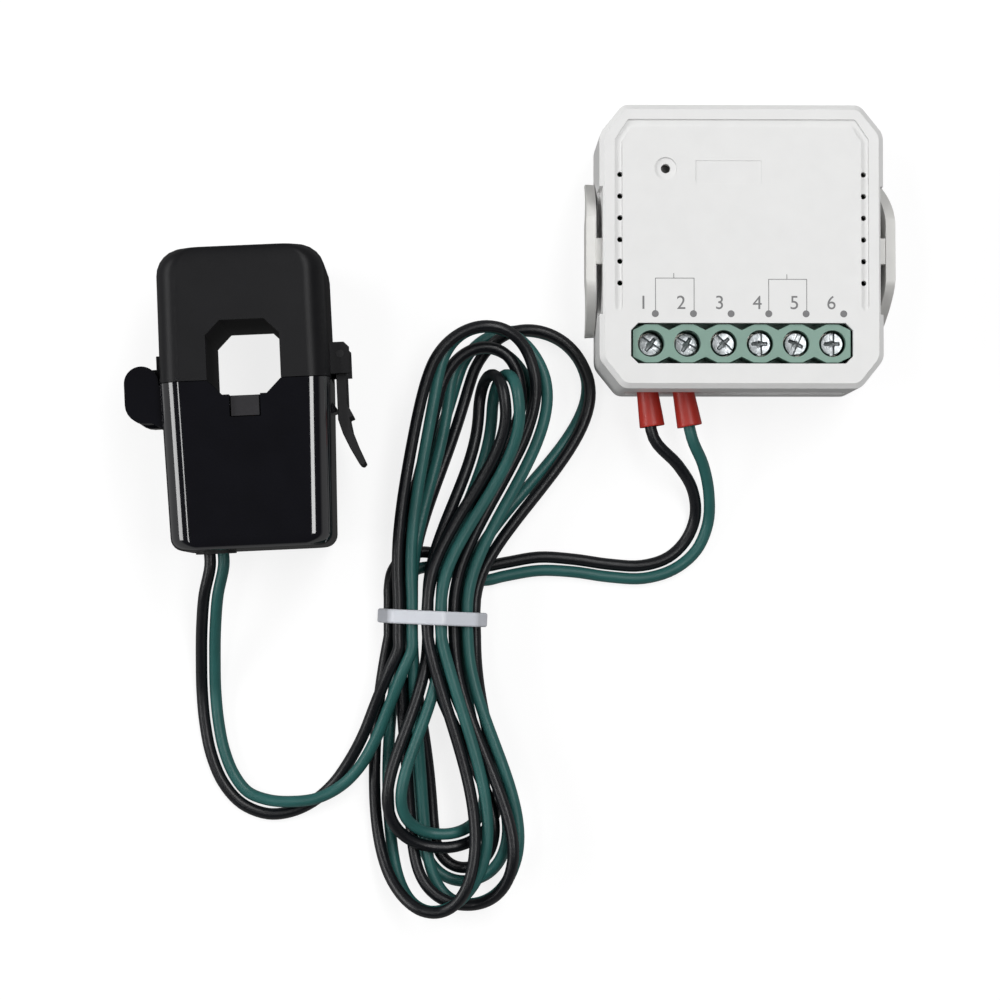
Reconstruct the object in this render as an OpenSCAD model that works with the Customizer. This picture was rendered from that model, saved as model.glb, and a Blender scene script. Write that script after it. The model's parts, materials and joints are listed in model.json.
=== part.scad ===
// Smart energy monitor: a small white radio module with six screw terminals, a twin lead
// folded into a tied hank, and a split core current clamp with a hinged cap.
// Millimetres. The origin is the centre of the module's rear face, which lies on the table.
// X runs along the row of terminals, Y points away from them and Z points out of the front.

/* [Monitor housing] */
// Width of the housing
body_w = 39.2; // [38:0.1:44]
// Height of the housing
body_h = 39.2; // [38.6:0.1:44]
// Depth of the housing, rear face to front face
body_d = 18; // [17.8:0.1:20]
// Corner cut measured along the width
corner_x = 3.2; // [2:0.1:4]
// Corner cut measured along the height
corner_y = 4.0; // [2:0.1:5]
// Share of a corner cut that is rounded at each of its ends
corner_round = 0.16; // [0.06:0.01:0.24]
// Side wall thickness
wall = 1.5; // [1.2:0.1:1.7]
// Thickness of the rear floor
floor_t = 1.6; // [1.2:0.1:1.8]
// Thickness of the front face
front_t = 1.6; // [1:0.1:2]
// Height of the parting line above the rear face
seam_z = 10.6; // [10.2:0.1:12]
// Bevel round the front edge
edge_bevel = 0.7; // [0.3:0.1:1]
// Thickness of the locating lip
lip_t = 0.7; // [0.5:0.05:0.8]
// Height of the locating lip above the parting line
lip_h = 1.2; // [0.6:0.1:1.6]
// Gap between fixed pieces that fit into each other
fit_gap = 0.1; // [0.05:0.01:0.12]

/* [Front face] */
// Distance of the decorative groove from the housing edge
groove_inset = 2.6; // [2.2:0.1:3]
// Width of the groove
groove_w = 1.05; // [0.6:0.05:1.2]
// Depth of the groove
groove_depth = 0.3; // [0.1:0.05:0.6]
// Height at which the two arms of the groove end
groove_end_y = -8.4; // [-9:0.1:-6]
// Vent holes in each column
vent_count = 6; // [3:1:6]
// Diameter of a vent hole
vent_d = 0.75; // [0.5:0.05:1]
// Spacing of the vent holes
vent_pitch = 3; // [2:0.1:3]
// Height of the top vent hole
vent_top_y = 9.9; // [9:0.1:11]
// Distance of the vent columns from the housing edge
vent_inset = 2.8; // [2.6:0.1:3.4]
// Sideways place of the reset hole
reset_x = -10.5; // [-12:0.1:-9]
// Height of the reset hole
reset_y = 10.7; // [9:0.1:12]
// Diameter of the reset hole
reset_d = 1.3; // [1:0.1:1.8]
// Diameter of the shallow dish round the reset hole
dish_d = 3.1; // [2.4:0.1:4]
// Width of the thin indicator window
window_w = 9.1; // [6:0.1:10]
// Height of the thin indicator window
window_h = 3.2; // [2:0.1:4]

/* [Spring clips] */
// Thickness of the clip strip
clip_t = 1.35; // [1:0.05:1.6]
// Height of the flat middle plate
clip_plate_h = 8.1; // [7:0.1:9]
// Reach of the arms from the clip's centre
clip_reach = 10.8; // [9:0.1:12]
// Distance of the clip's front edge behind the housing front
clip_setback = 1.5; // [1:0.1:2]
// Width of the clip strip at the middle plate
clip_band = 6.2; // [5:0.1:7]
// Width of the clip strip at the arm tips
clip_tip = 2.4; // [1.5:0.1:3]
// Drop of the arm tips towards the rear
clip_drop = 13; // [11:0.1:13.4]
// Inward lean of the arms
clip_lean = 3.4; // [1:0.1:4]
// Height of the locating tab
clip_tab_h = 3.6; // [3:0.1:5]

/* [Terminals] */
// Spacing of the six terminals
terminal_pitch = 5.0; // [4.9:0.05:5.2]
// Height of the terminal row
terminal_y = -13.4; // [-13.6:0.05:-13.2]
// Height of the wire centre above the rear face
wire_z = 7.2; // [7:0.05:7.4]
// Diameter of the screw shank
screw_d = 2.5; // [2.2:0.05:2.6]
// Diameter of the screw head
head_d = 3.1; // [2.9:0.05:3.3]
// Height of the screw head
head_h = 1.5; // [1.2:0.05:1.6]
// Length of the screw shank
shank_l = 5.05; // [5:0.05:5.2]
// Travel of a terminal screw from clamped to open
screw_travel = 1.5; // [1:0.1:1.6]
// Thickness of the wire guard plate under the screw
foot_t = 0.5; // [0.4:0.05:0.6]
// Running gap of a turning or sliding fit, on the radius
run_gap = 0.05; // [0.02:0.01:0.08]

/* [Ferrules] */
// Diameter of the metal ferrule tube
ferrule_d = 1.7; // [1.4:0.05:1.8]
// Length of the metal ferrule tube
ferrule_l = 7; // [5:0.1:7.2]
// Diameter of the plastic ferrule collar
collar_d = 3.05; // [2.9:0.05:3.1]
// Length of the plastic ferrule collar
collar_l = 6; // [4:0.1:8]
// Bore of the plastic ferrule collar
collar_bore = 2.5; // [2:0.05:2.6]

/* [Boards] */
// Height of the main board above the rear face
board_z = 2.8; // [2.6:0.1:3]
// Thickness of the main board
board_t = 1.2; // [1:0.1:1.4]
// Height of the clear space between the boards
board_space = 6.4; // [6.3:0.05:6.6]
// Thickness of the control board
control_t = 1; // [0.8:0.1:1.2]
// Diameter of the bulk capacitor
capacitor_d = 6.3; // [5:0.1:6.3]
// Length of the bulk capacitor
capacitor_l = 11; // [8:0.1:12]
// Height of the reset switch body
switch_h = 2.5; // [2:0.1:3.6]
// Diameter of the reset plunger
plunger_d = 2; // [1.6:0.1:2.4]
// Travel of the reset plunger
plunger_travel = 0.25; // [0.15:0.05:0.35]

/* [Current clamp] */
// Width of the clamp at the parting line
ct_w = 23.1; // [22.8:0.1:25]
// Width of the clamp at the bottom of the base
ct_end_w = 22.0; // [21.8:0.1:23]
// Depth of the clamp, rear face to front face
ct_d = 25; // [24.6:0.1:28]
// Length of the base below the parting line
ct_base_l = 22.8; // [21.6:0.1:24]
// Length of the cap above the parting line
ct_cap_l = 18.2; // [18:0.1:20]
// Wall thickness of the two shells
ct_wall = 1.5; // [1.2:0.1:1.6]
// Rounding of the long edges
ct_edge_r = 3; // [2:0.1:4]
// Rounding of the cap's top corners
ct_cap_r = 3.6; // [2:0.1:4]
// Rounding of the base's bottom corners
ct_base_r = 1.8; // [1:0.1:3]
// Half width of the conductor opening
hole_half = 5; // [4:0.1:5.2]
// Lower edge of the conductor opening
hole_low = -2.0; // [-2.4:0.1:-1.8]
// Upper edge of the conductor opening
hole_top = 8.1; // [7:0.1:8.2]
// Corner cut of the conductor opening
hole_cut = 2; // [1:0.1:2.4]
// Thickness of the lining round the opening
liner_t = 1.3; // [0.8:0.1:1.3]
// Gap at the parting line
split_gap = 0.1; // [0.06:0.02:0.2]
// Turn of the clamp on the table
ct_turn = 2.6; // [0:0.1:4]

/* [Clamp core] */
// Width of a core leg
leg_w = 3.2; // [2.6:0.1:3.3]
// Thickness of the core yokes
yoke_t = 4; // [3:0.1:4.2]
// Depth of the core
core_d = 16; // [12:0.1:16.4]
// Thickness of the core spring strip
leaf_t = 0.35; // [0.2:0.05:0.5]

/* [Clamp hinge and latch] */
// Distance of the hinge axis outside the clamp wall
hinge_out = 2.65; // [2.6:0.05:3]
// Height of the hinge axis above the parting line
hinge_v = 0.25; // [0.2:0.05:0.4]
// Radius of the hinge ears
ear_r = 2.35; // [2:0.05:2.4]
// Length of each hinge ear
ear_l = 4; // [3:0.1:5]
// Length of the hinge over both ears
hinge_l = 16; // [14:0.1:18]
// Diameter of the hinge pin
hinge_pin_d = 1.6; // [1.2:0.1:2]
// Gap between an ear and the knuckle
ear_gap = 0.15; // [0.1:0.01:0.2]
// Width of the latch strap
latch_w = 9; // [7:0.1:10]
// Thickness of the latch strap
latch_t = 1.4; // [1:0.1:1.6]
// Gap between the clamp wall and the latch strap
latch_out = 0.65; // [0.6:0.05:0.9]
// Diameter of the latch pin
latch_pin_d = 1; // [0.8:0.1:1.2]

/* [Lead] */
// Diameter of one insulated core of the twin lead
core_dia = 1.65; // [1.4:0.05:1.66]
// Centre distance of the two cores in the hank
core_pitch = 1.9; // [1.9:0.01:1.92]
// Thickness of the cable tie
tie_t = 0.75; // [0.5:0.05:0.75]
// Width of the cable tie
tie_w = 2; // [1.5:0.1:3]

/* [Hidden] */
$fn = 48;
eps = 0.01;

// Housing: planes and places worked out from the sizes above
half_w = body_w / 2;
corner_steps = 4;
half_h = body_h / 2;
cover_inner_z = body_d - front_t;
board_top = board_z + board_t;
control_z = board_top + board_space;
control_top = control_z + control_t;
lip_inset = wall + fit_gap + lip_t;
lip_root = 1.2;
post_d = 2.4;
post_x = half_w - 5.6;
post_y = half_h - 7.6;

// Spring clips: place of the strip and of its tab in the cover
clip_y = -0.5;
clip_off = 0.45;
clip_front = body_d - clip_setback;
clip_tab_low = clip_front - 1.9;
clip_tab_top = clip_front - 0.3;
clip_tab_in = half_w - wall + 0.4;
clip_in = half_w + clip_off;
clip_steps = 8;

// Shallow recess in each side of the cover behind the clip
side_recess = 0.45;
side_recess_low = -9.4;
side_recess_top = 8.3;

// Terminals: block, frames, screws and guard plates
terminal_count = 6;
clamped_count = 2;
block_half_w = 2.5 * terminal_pitch + 2.6;
block_low_y = -half_h + wall + fit_gap;
block_top_y = terminal_y + 4;
block_z = 13;
lobe_z = body_d - 0.5;
lobe_tall = 2.64;
lobe_low = 1.85;
lobe_flat = 0.85;
screw_bore = head_d + 0.6;
frame_w = 3.8;
frame_l = 5;
frame_low = 5.7;
frame_top = 11.8;
frame_y = terminal_y - 0.1;
window_in = 2.8;
window_low = wire_z - ferrule_d / 2 - 0.02;
window_top = window_low + ferrule_d + foot_t + screw_travel + 0.35;
foot_low = wire_z + ferrule_d / 2 + 0.02;
pin_w = 1;
pin_l = 0.8;
pin_low = 2.2;
slot_turns = [-35, -30, -45, 90, 65, 90];
hole_r = 1.9;
recess_h = 4.8;
recess_depth = 0.5;
entry_half = 1.5;
entry_rise = 1.6;
foot_half_l = 1.8;
slot_w = 0.6;
slot_depth = 0.65;
cross_depth = 0.5;

// Reset switch: how far the plunger sits in its bore, and its share of the space under the cover
plunger_sunk = 0.95;
plunger_share = 0.6;
plunger_out = plunger_share * (cover_inner_z - control_top - switch_h);
switch_w = 6;

// Board parts: sizes, and places of their centres
header_w = 20;
header_l = 2.5;
header_y = 14.5;
can_w = 16;
can_l = 15;
can_h = 2.4;
can_x = 5.5;
can_y = -0.5;
coil_x = -9.5;
coil_y = 4.5;
coil_w = 9;
coil_foot = 1.6;
coil_h = 6.2;
coil_core_w = 7;
coil_core_l = 6.6;
coil_band_l = 3;
coil_band_h = 5.6;

// Ferrules: place of the collar and its lean towards the clamp side
collar_y = -half_h + 1.25;
collar_lean = [7.7, 10.5];
collar_end = 1;

// Clamp: place on the table, hinge and latch axes, core and bobbin
ct_x = -68;
ct_y = -18.9;
ct_end_fillet = 0.85;
cap_end_w = ct_w - 0.2;
hinge_u = -ct_w / 2 - hinge_out;
hinge_mid = ct_d / 2 + 0.5;
hinge_low = hinge_mid - hinge_l / 2;
knuckle_r = ear_r - 0.25;
ear_drop = 5.2;
ear_foot = 6.3;
ear_bend = 2.6;
ear_step = 1.2;
ear_cover = 0.8;
wall_bite = 0.6;
strap_u = ct_w / 2 + latch_out;
latch_u = strap_u + latch_t / 2;
latch_v = 3.4;
latch_hub_r = latch_t / 2 + 0.45;
latch_low = ct_d / 2 - latch_w / 2;
latch_curl = [[0, -5.6], [0.6, -7.6], [1.5, -9.6], [2.5, -11.5], [2.8, -11.9], [3.2, -12], [3.6, -11.6]];
latch_back = [[1.2, -9.2], [0.5, -7.2], [0.2, -5.4], [0.8, -5.2], [0, -3.6]];
cheek_t = 1.3;
cheek_low = 0.7;
cheek_top = 5.0;
cheek_out = 1.25;
cheek_cut = 0.7;
cheek_gap = 0.1;
leg_in = hole_half + liner_t + fit_gap;
leg_out = leg_in + leg_w;
cap_yoke_v = hole_top + liner_t + 0.2;
cap_yoke_top = cap_yoke_v + yoke_t + 1;
base_yoke_top = -8.5;
base_yoke_v = base_yoke_top - yoke_t;
core_z = (ct_d - core_d) / 2;
bobbin_wall = 0.9;
flange_u = hole_half + 0.4;
flange_t = 1;
flange_rise = 3;
spring_half = 7;
spring_w = 8;
flange_share = 0.6;
winding_gap = 0.05;
winding_t = 2.4;
winding_share = 0.385;
notch_half = 2.1;
notch_v = hole_low - 3.05;
tongue_back = 0.5;
grommet_u = -5.9;
grommet_z = 8;
grommet_out = 0.3;
grommet_r = 1.9;
grommet_bore = 0.9;
grommet_depth = 0.8;

// Hank: its place, the nine straight passes through the tie and the eight loops between them.
// A pass is [x, z, side of the black core]. A loop is [way, length, opening, taper, lean,
// height before, at and after its turn, upright opening, kind, centre of the twist,
// angle over which it comes down before the turn and after it].
hank_x = -42.8;
hank_y = -51.2;
tie_gap = 0.1;
tie_turn = -2.5;
hank_sides = 6;
lead_sides = 8;
half_pass = 2.6;
steps = 12;
fall_rate = 1.3;
twist_flat = 4;
twist_span = 60;
passes = [
    [-3.6, 8.2, -1],
    [4.2, 6.8, -1],
    [-3.6, 6.1, -1],
    [0.5, 4.5, -1],
    [-3.6, 4.0, 1],
    [5.3, 3.9, 1],
    [0.5, 6.7, -1],
    [0.5, 8.8, -1],
    [-5.0, 1.7, -1]
];
loops = [
    [1, 38.3, 12.1, 1.4, 7.5, 8.4, 8.4, 6.8, 0, "twist", 90, 30, 30],
    [-1, 37.8, 11.0, 1.9, 4.9, 7.8, 4.0, 3.0, 0, "twist", 75, 40, 55],
    [1, 35.6, 10.8, 1.5, 9.2, 4.8, 4.9, 4.5, 0, "twist", 90, 30, 30],
    [-1, 33.8, 10.4, 2.0, 6.2, 5.4, 1.1, 0.9, 0, "flat", 90, 40, 40],
    [1, 38.3, 14.6, 1.5, 12.6, 1.4, 1.9, 1.9, 0, "twist", 112, 30, 30],
    [-1, 28.8, 14.0, 2.0, -1.2, 0.9, 4.8, 8.2, 0, "flat", 90, 36, 45],
    [1, 31.5, 4.5, 1.6, 9.0, 6.8, 7.8, 8.8, 9.2, "fold", 90, 30, 30],
    [-1, 38.6, 10.2, 1.1, 2.6, 8.4, 6.9, 1.7, 0, "twist", 90, 30, 50]
];

// Free stretches of the lead, from the hank outwards
black_clamp_route = [
    [-48.6, -58.4, 7.8], [-50.5, -63.0, 5.9], [-52.4, -67.8, 4.3], [-54.5, -71.7, 2.4],
    [-56.8, -74.9, 1.1], [-59.6, -77.3, 0.9], [-62.7, -78.7, 0.9], [-66.0, -79.0, 0.9],
    [-69.6, -77.6, 0.9], [-72.3, -74.6, 0.9], [-74.0, -70.6, 0.9], [-74.9, -66.2, 0.9],
    [-75.3, -61.6, 1.3], [-75.3, -57.0, 2.7], [-75.1, -52.6, 4.8], [-74.6, -48.0, 7.0]
];
green_clamp_route = [
    [-46.9, -59.0, 8.0], [-48.8, -63.9, 6.4], [-50.8, -68.7, 4.9], [-53.0, -72.4, 3.7],
    [-55.6, -75.0, 2.9], [-58.9, -76.7, 2.8], [-62.4, -77.2, 2.4], [-65.9, -77.0, 1.6],
    [-68.8, -75.9, 1.0], [-70.8, -73.4, 0.9], [-72.2, -69.9, 0.9], [-73.0, -65.9, 0.9],
    [-73.4, -61.5, 1.3], [-73.4, -57.0, 2.7], [-73.2, -52.6, 4.8], [-72.7, -48.0, 7.0]
];
black_monitor_route = [
    [-48.3, -44.6, 1.4], [-46.9, -42.8, 1.0], [-44.6, -41.9, 0.9], [-41.6, -42.2, 0.9],
    [-38.6, -43.2, 0.9], [-35.6, -43.9, 0.9], [-32.4, -43.4, 0.9], [-27.5, -42.6, 0.9],
    [-22.5, -42.9, 0.9], [-17.5, -43.6, 0.9], [-12.8, -43.8, 0.9], [-9.0, -42.6, 0.9],
    [-6.4, -40.0, 0.9], [-5.2, -36.6, 1.6], [-5.8, -32.9, 3.5], [-8.0, -29.6, 5.6]
];
green_monitor_route = [
    [-46.3, -45.4, 1.4], [-45.0, -44.4, 1.0], [-43.2, -44.0, 0.9], [-40.8, -44.4, 0.9],
    [-38.0, -45.3, 0.9], [-35.3, -45.9, 0.9], [-32.4, -45.3, 0.9], [-27.5, -44.5, 0.9],
    [-22.5, -44.7, 0.9], [-17.5, -45.4, 0.9], [-12.5, -45.6, 0.9], [-8.2, -44.3, 0.9],
    [-5.0, -41.6, 0.9], [-3.4, -37.8, 1.4], [-3.4, -33.6, 3.3], [-4.4, -29.6, 5.6]
];

// Housing outline, an oblong with cut corners, drawn in by an even distance
function outline_points(inset) =
    let (a = half_w - inset)
    let (b = half_h - inset)
    let (cut = sqrt(corner_x * corner_x + corner_y * corner_y))
    let (k = corner_y * half_w + corner_x * (half_h - corner_y) - inset * cut)
    let (xb = (k - corner_x * b) / corner_y)
    let (ya = (k - corner_y * a) / corner_x)
    let (corners = [[xb, b], [a, ya], [a, -ya], [xb, -b], [-xb, -b], [-a, -ya], [-a, ya], [-xb, b]])
    soften(corners, corner_round * norm(corners[1] - corners[0]), corner_steps);

// A closed outline whose corners are blended over the length t on both sides
function soften(p, t, n) = [
    for (i = [0:len(p) - 1])
        let (before = p[(i + len(p) - 1) % len(p)] - p[i])
        let (after = p[(i + 1) % len(p)] - p[i])
        for (k = [0:n])
            let (s = k / n)
            p[i] + before * t / norm(before) * pow(1 - s, 2) + after * t / norm(after) * pow(s, 2)
];

function terminal_x(i) = (i - (terminal_count + 1) / 2) * terminal_pitch;

function lift(i) = i > clamped_count ? screw_travel : 0;

// Points of an oblong with round corners
function rounded_points(w, d, r, n = 6) = [
    for (q = [0:3], k = [0:n])
        let (a = 90 * q + 90 * k / n)
        let (sx = q == 0 || q == 3 ? 1 : -1)
        let (sy = q < 2 ? 1 : -1)
        [sx * (w / 2 - r) + r * cos(a), sy * (d / 2 - r) + r * sin(a)]
];

// Octagonal conductor opening, grown by an even distance
function hole_points(grow) =
    let (a = hole_half + grow)
    let (top = hole_top + grow)
    let (low = hole_low - grow)
    let (c = hole_cut + grow * (2 - sqrt(2)))
    [[a, low + c], [a, top - c], [a - c, top], [c - a, top], [-a, top - c], [-a, low + c],
     [c - a, low], [a - c, low]];

function unit(v) = v / norm(v);

function smooth(t) =
    let (s = min(max(t, 0), 1))
    s * s * (3 - 2 * s);

// Point of the clamp's own frame in the part's frame
function clamp_point(u, v, z) = [
    ct_x + u * cos(ct_turn) - v * sin(ct_turn),
    ct_y + u * sin(ct_turn) + v * cos(ct_turn),
    z
];

// Point on a ferrule collar's axis, at a distance from its inner end
function collar_point(i, s) = [
    terminal_x(i) + s * sin(collar_lean[i - 1]),
    collar_y - s * cos(collar_lean[i - 1]),
    wire_z
];

// Middle line of one loop of the hank at the angle u, 0 to 180
function loop_line(i, u) =
    let (l = loops[i])
    let (p = passes[i])
    let (q = passes[i + 1])
    let (c = cos(u))
    let (t = sin(u))
    let (s = (1 - c) / 2)
    let (x = (p[0] + q[0]) / 2 + l[4] * smooth(1.2 * t)
        + ((p[0] - q[0]) / 2 - l[0] * l[2] * pow(t, l[3])) * c)
    let (before = l[5] + (l[6] - l[5]) * smooth((u - 90 + l[11]) / l[11]))
    let (after = l[6] + (l[7] - l[6]) * smooth((u - 90) / l[12]))
    let (outer = (u < 90 ? before : after) - l[8] * c * pow(t, 4))
    let (waist = p[1] * (1 - s) + q[1] * s)
    [x, l[0] * (half_pass + l[1] * t), waist + (outer - waist) * smooth(fall_rate * t)];

function loop_way(i, u) = unit(loop_line(i, u + 0.5) - loop_line(i, u - 0.5));

// Direction from the middle line to the black core before it is squared to the run
function loop_lean(i, u) =
    let (l = loops[i])
    let (side = passes[i][2])
    let (far = max(0, abs(u - l[10]) - twist_flat))
    let (turn = 90 * smooth(1 - far / twist_span))
    let (way = loop_way(i, u))
    l[9] == "twist" ? [side * cos(turn), 0, sin(turn)] :
    l[9] == "fold" ? [side, 0, 0] :
    [way[1], -way[0], 0] * side * l[0];

function loop_side(i, u) =
    let (e = loop_lean(i, u))
    let (way = loop_way(i, u))
    unit(e - way * (e * way));

// Rings of the hank's middle line: [point, direction to the black core, way of the run]
hank_rings = concat(
    [[[passes[0][0], -half_pass, passes[0][1]], [passes[0][2], 0, 0], [0, 1, 0]]],
    [for (i = [0:len(loops) - 1], j = [0:steps])
        let (u = 180 * j / steps)
        j == 0 ? [loop_line(i, 0), [passes[i][2], 0, 0], [0, loops[i][0], 0]] :
        j == steps ? [loop_line(i, 180), [passes[i + 1][2], 0, 0], [0, -loops[i][0], 0]] :
        [loop_line(i, u), loop_side(i, u), loop_way(i, u)]],
    [[[passes[8][0], half_pass, passes[8][1]], [passes[8][2], 0, 0], [0, 1, 0]]]
);

function hank_line(side) = [for (r = hank_rings) r[0] + r[1] * side * core_pitch / 2];

// Least gap of a tube to itself, measured between points that lie apart along it
function fine_line(p, n = 4) = [
    for (i = [0:len(p) - 2], k = [0:n - 1]) p[i] + (p[i + 1] - p[i]) * k / n
];
function run_lengths(p) = [
    for (i = 0, s = 0; i < len(p); i = i + 1, s = s + (i < len(p) ? norm(p[i] - p[i - 1]) : 0)) s
];
function self_gap(p) =
    let (f = fine_line(p))
    let (s = run_lengths(f))
    min([for (i = [0:len(f) - 1], j = [0:i]) if (s[i] - s[j] > 8) norm(f[i] - f[j])]) - core_dia;

black_gap = self_gap(hank_line(1));
green_gap = self_gap(hank_line(-1));
echo(str("least gap of the black hank to itself ", black_gap));
echo(str("least gap of the green hank to itself ", green_gap));

// A closed tube through rings of [point, direction of its first corner, way of the run]
module ring_tube(rings, r, sides) {
    n = len(rings);
    points = [
        for (g = rings, k = [0:sides - 1])
            let (a = 360 * k / sides)
            let (up = cross(g[2], g[1]))
            g[0] + r * (cos(a) * g[1] + sin(a) * up)
    ];
    walls = [
        for (i = [0:n - 2], k = [0:sides - 1], h = [0:1])
            let (a = i * sides + k)
            let (b = i * sides + (k + 1) % sides)
            h == 0 ? [a, a + sides, b] : [b, a + sides, b + sides]
    ];
    first = [for (k = [1:sides - 2]) [0, k, k + 1]];
    last_at = (n - 1) * sides;
    last = [for (k = [1:sides - 2]) [last_at, last_at + k + 1, last_at + k]];
    polyhedron(points, concat(walls, first, last));
}

// A free stretch of lead: rings square to the route, upright reference
module lead_tube(p) {
    n = len(p);
    ways = [
        for (i = [0:n - 1])
            i == 0 ? unit(p[1] - p[0]) :
            i == n - 1 ? unit(p[n - 1] - p[n - 2]) :
            unit(unit(p[i] - p[i - 1]) + unit(p[i + 1] - p[i]))
    ];
    rings = [for (i = [0:n - 1]) [p[i], unit(cross(ways[i], [0, 0, 1])), ways[i]]];
    ring_tube(rings, core_dia / 2, lead_sides);
}

function hank_end(k, side, y) = [
    hank_x + passes[k][0] + passes[k][2] * side * core_pitch / 2,
    hank_y + y,
    passes[k][1]
];

module at_clamp() {
    translate([ct_x, ct_y, 0]) rotate([0, 0, ct_turn]) children();
}

module outline(inset) {
    polygon(outline_points(inset));
}

module box(low, high) {
    translate(low) cube(high - low);
}

// A line of even width with round ends, drawn through points
module stroke(p, w) {
    for (i = [0:len(p) - 1]) {
        translate(p[i]) circle(d = w);
    }
    for (i = [0:len(p) - 2]) {
        d = p[i + 1] - p[i];
        translate(p[i]) rotate(atan2(d[1], d[0])) translate([0, -w / 2]) square([norm(d), w]);
    }
}

module rear_case() {
    color("whitesmoke") difference() {
        union() {
            difference() {
                linear_extrude(seam_z) outline(0);
                translate([0, 0, floor_t]) linear_extrude(seam_z) outline(wall);
            }
            rear_lip();
            for (sx = [-1, 1], sy = [-1, 1]) {
                translate([sx * post_x, sy * post_y, floor_t - eps])
                    cylinder(d = post_d, h = board_z - floor_t + eps);
            }
        }
        box([-block_half_w - 0.5, -half_h - 1, wire_z - recess_h / 2],
            [block_half_w + 0.5, -half_h + recess_depth, wire_z + recess_h / 2]);
        for (i = [1:terminal_count]) {
            translate([terminal_x(i), -half_h + wall + 0.5, wire_z]) rotate([90, 0, 0])
                cylinder(r = hole_r, h = wall + 1);
        }
    }
}

module rear_lip() {
    difference() {
        union() {
            translate([0, 0, seam_z - lip_root]) linear_extrude(lip_root) difference() {
                outline(wall - eps);
                outline(lip_inset);
            }
            translate([0, 0, seam_z - eps]) linear_extrude(lip_h + eps) difference() {
                outline(wall + fit_gap);
                outline(lip_inset);
            }
        }
        box([-block_half_w - fit_gap, -half_h + wall, seam_z - lip_root - 1],
            [block_half_w + fit_gap, block_top_y, body_d]);
    }
}

module front_cover() {
    clip_slot = clip_tab_h / 2 + fit_gap;
    color("white") difference() {
        union() {
            translate([0, 0, seam_z]) linear_extrude(body_d - edge_bevel - seam_z) outline(0);
            hull() {
                translate([0, 0, body_d - edge_bevel - eps]) linear_extrude(eps) outline(0);
                translate([0, 0, body_d - eps]) linear_extrude(eps) outline(edge_bevel);
            }
        }
        translate([0, 0, seam_z - 1]) linear_extrude(cover_inner_z - seam_z + 1) outline(wall);
        translate([0, 0, body_d - groove_depth]) linear_extrude(1) groove_shape();
        for (sx = [-1, 1], k = [0:vent_count - 1]) {
            translate([sx * (half_w - vent_inset), vent_top_y - k * vent_pitch, cover_inner_z - 1])
                cylinder(d = vent_d, h = front_t + 2, $fn = 24);
        }
        translate([reset_x, reset_y, cover_inner_z - 1]) cylinder(d = reset_d, h = front_t + 2);
        translate([reset_x, reset_y, body_d - 0.25]) cylinder(d = dish_d, h = 1);
        translate([-1.85, reset_y - 0.5, body_d - 0.1]) linear_extrude(1)
            square([window_w, window_h], center = true);
        translate([0, 0, cover_inner_z - 1]) linear_extrude(front_t + 2) terminal_window();
        for (sx = [-1, 1]) {
            box([sx > 0 ? half_w - side_recess : -half_w - 1, side_recess_low, seam_z - 1],
                [sx > 0 ? half_w + 1 : side_recess - half_w, side_recess_top, body_d + 1]);
            box([sx > 0 ? clip_tab_in : -half_w - 1, clip_y - clip_slot, clip_tab_low - fit_gap],
                [sx > 0 ? half_w + 1 : -clip_tab_in, clip_y + clip_slot, clip_tab_top + fit_gap]);
        }
    }
}

module groove_shape() {
    gx = half_w - groove_inset;
    gy = half_h - groove_inset;
    stroke([[-gx, groove_end_y], [-gx, gy - 2.4], [-gx + 1.6, gy], [gx - 1.6, gy],
        [gx, gy - 2.4], [gx, groove_end_y]], groove_w);
}

module terminal_window() {
    a = block_half_w + 0.2;
    b = lobe_tall + 0.16;
    translate([0, terminal_y])
        polygon([[a - 1, b], [a, b - 1], [a, 1 - b], [a - 1, -b], [1 - a, -b], [-a, 1 - b],
            [-a, b - 1], [1 - a, b]]);
}

// Spring clips: a flat plate with two arms that sweep to the rear, and a tab in the cover
function clip_sweep(s) = clip_drop * pow(s, 1.7);

module clip_arm() {
    run = clip_reach - clip_plate_h / 2;
    outer = [for (k = [0:clip_steps]) [run * k / clip_steps, clip_front - clip_sweep(k / clip_steps)]];
    inner = [
        for (k = [clip_steps:-1:0])
            let (s = k / clip_steps)
            let (w = clip_band + (clip_tip - clip_band) * s)
            [run * s, max(clip_front - clip_sweep(s) - w, 0.6)]
    ];
    rotate([90, 0, 90]) linear_extrude(clip_t)
        polygon(concat([[-0.3, clip_front]], outer, inner, [[-0.3, clip_front - clip_band]]));
}

module spring_clip() {
    translate([clip_in, clip_y, 0]) {
        box([0, -clip_plate_h / 2, clip_front - clip_band], [clip_t, clip_plate_h / 2, clip_front]);
        for (m = [0, 1]) {
            mirror([0, m, 0]) translate([0, clip_plate_h / 2, 0]) rotate([0, 0, clip_lean]) clip_arm();
        }
    }
    box([clip_tab_in + fit_gap, clip_y - clip_tab_h / 2, clip_tab_low],
        [clip_in + 0.2, clip_y + clip_tab_h / 2, clip_tab_top]);
}

module left_spring_clip() {
    color("ivory") mirror([1, 0, 0]) spring_clip();
}

module right_spring_clip() {
    color("ivory") spring_clip();
}

module lobe_shape() {
    a = terminal_pitch / 2;
    polygon([[lobe_flat, lobe_tall], [a, lobe_low], [a, -lobe_low], [lobe_flat, -lobe_tall],
        [-lobe_flat, -lobe_tall], [-a, -lobe_low], [-a, lobe_low], [-lobe_flat, lobe_tall]]);
}

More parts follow.
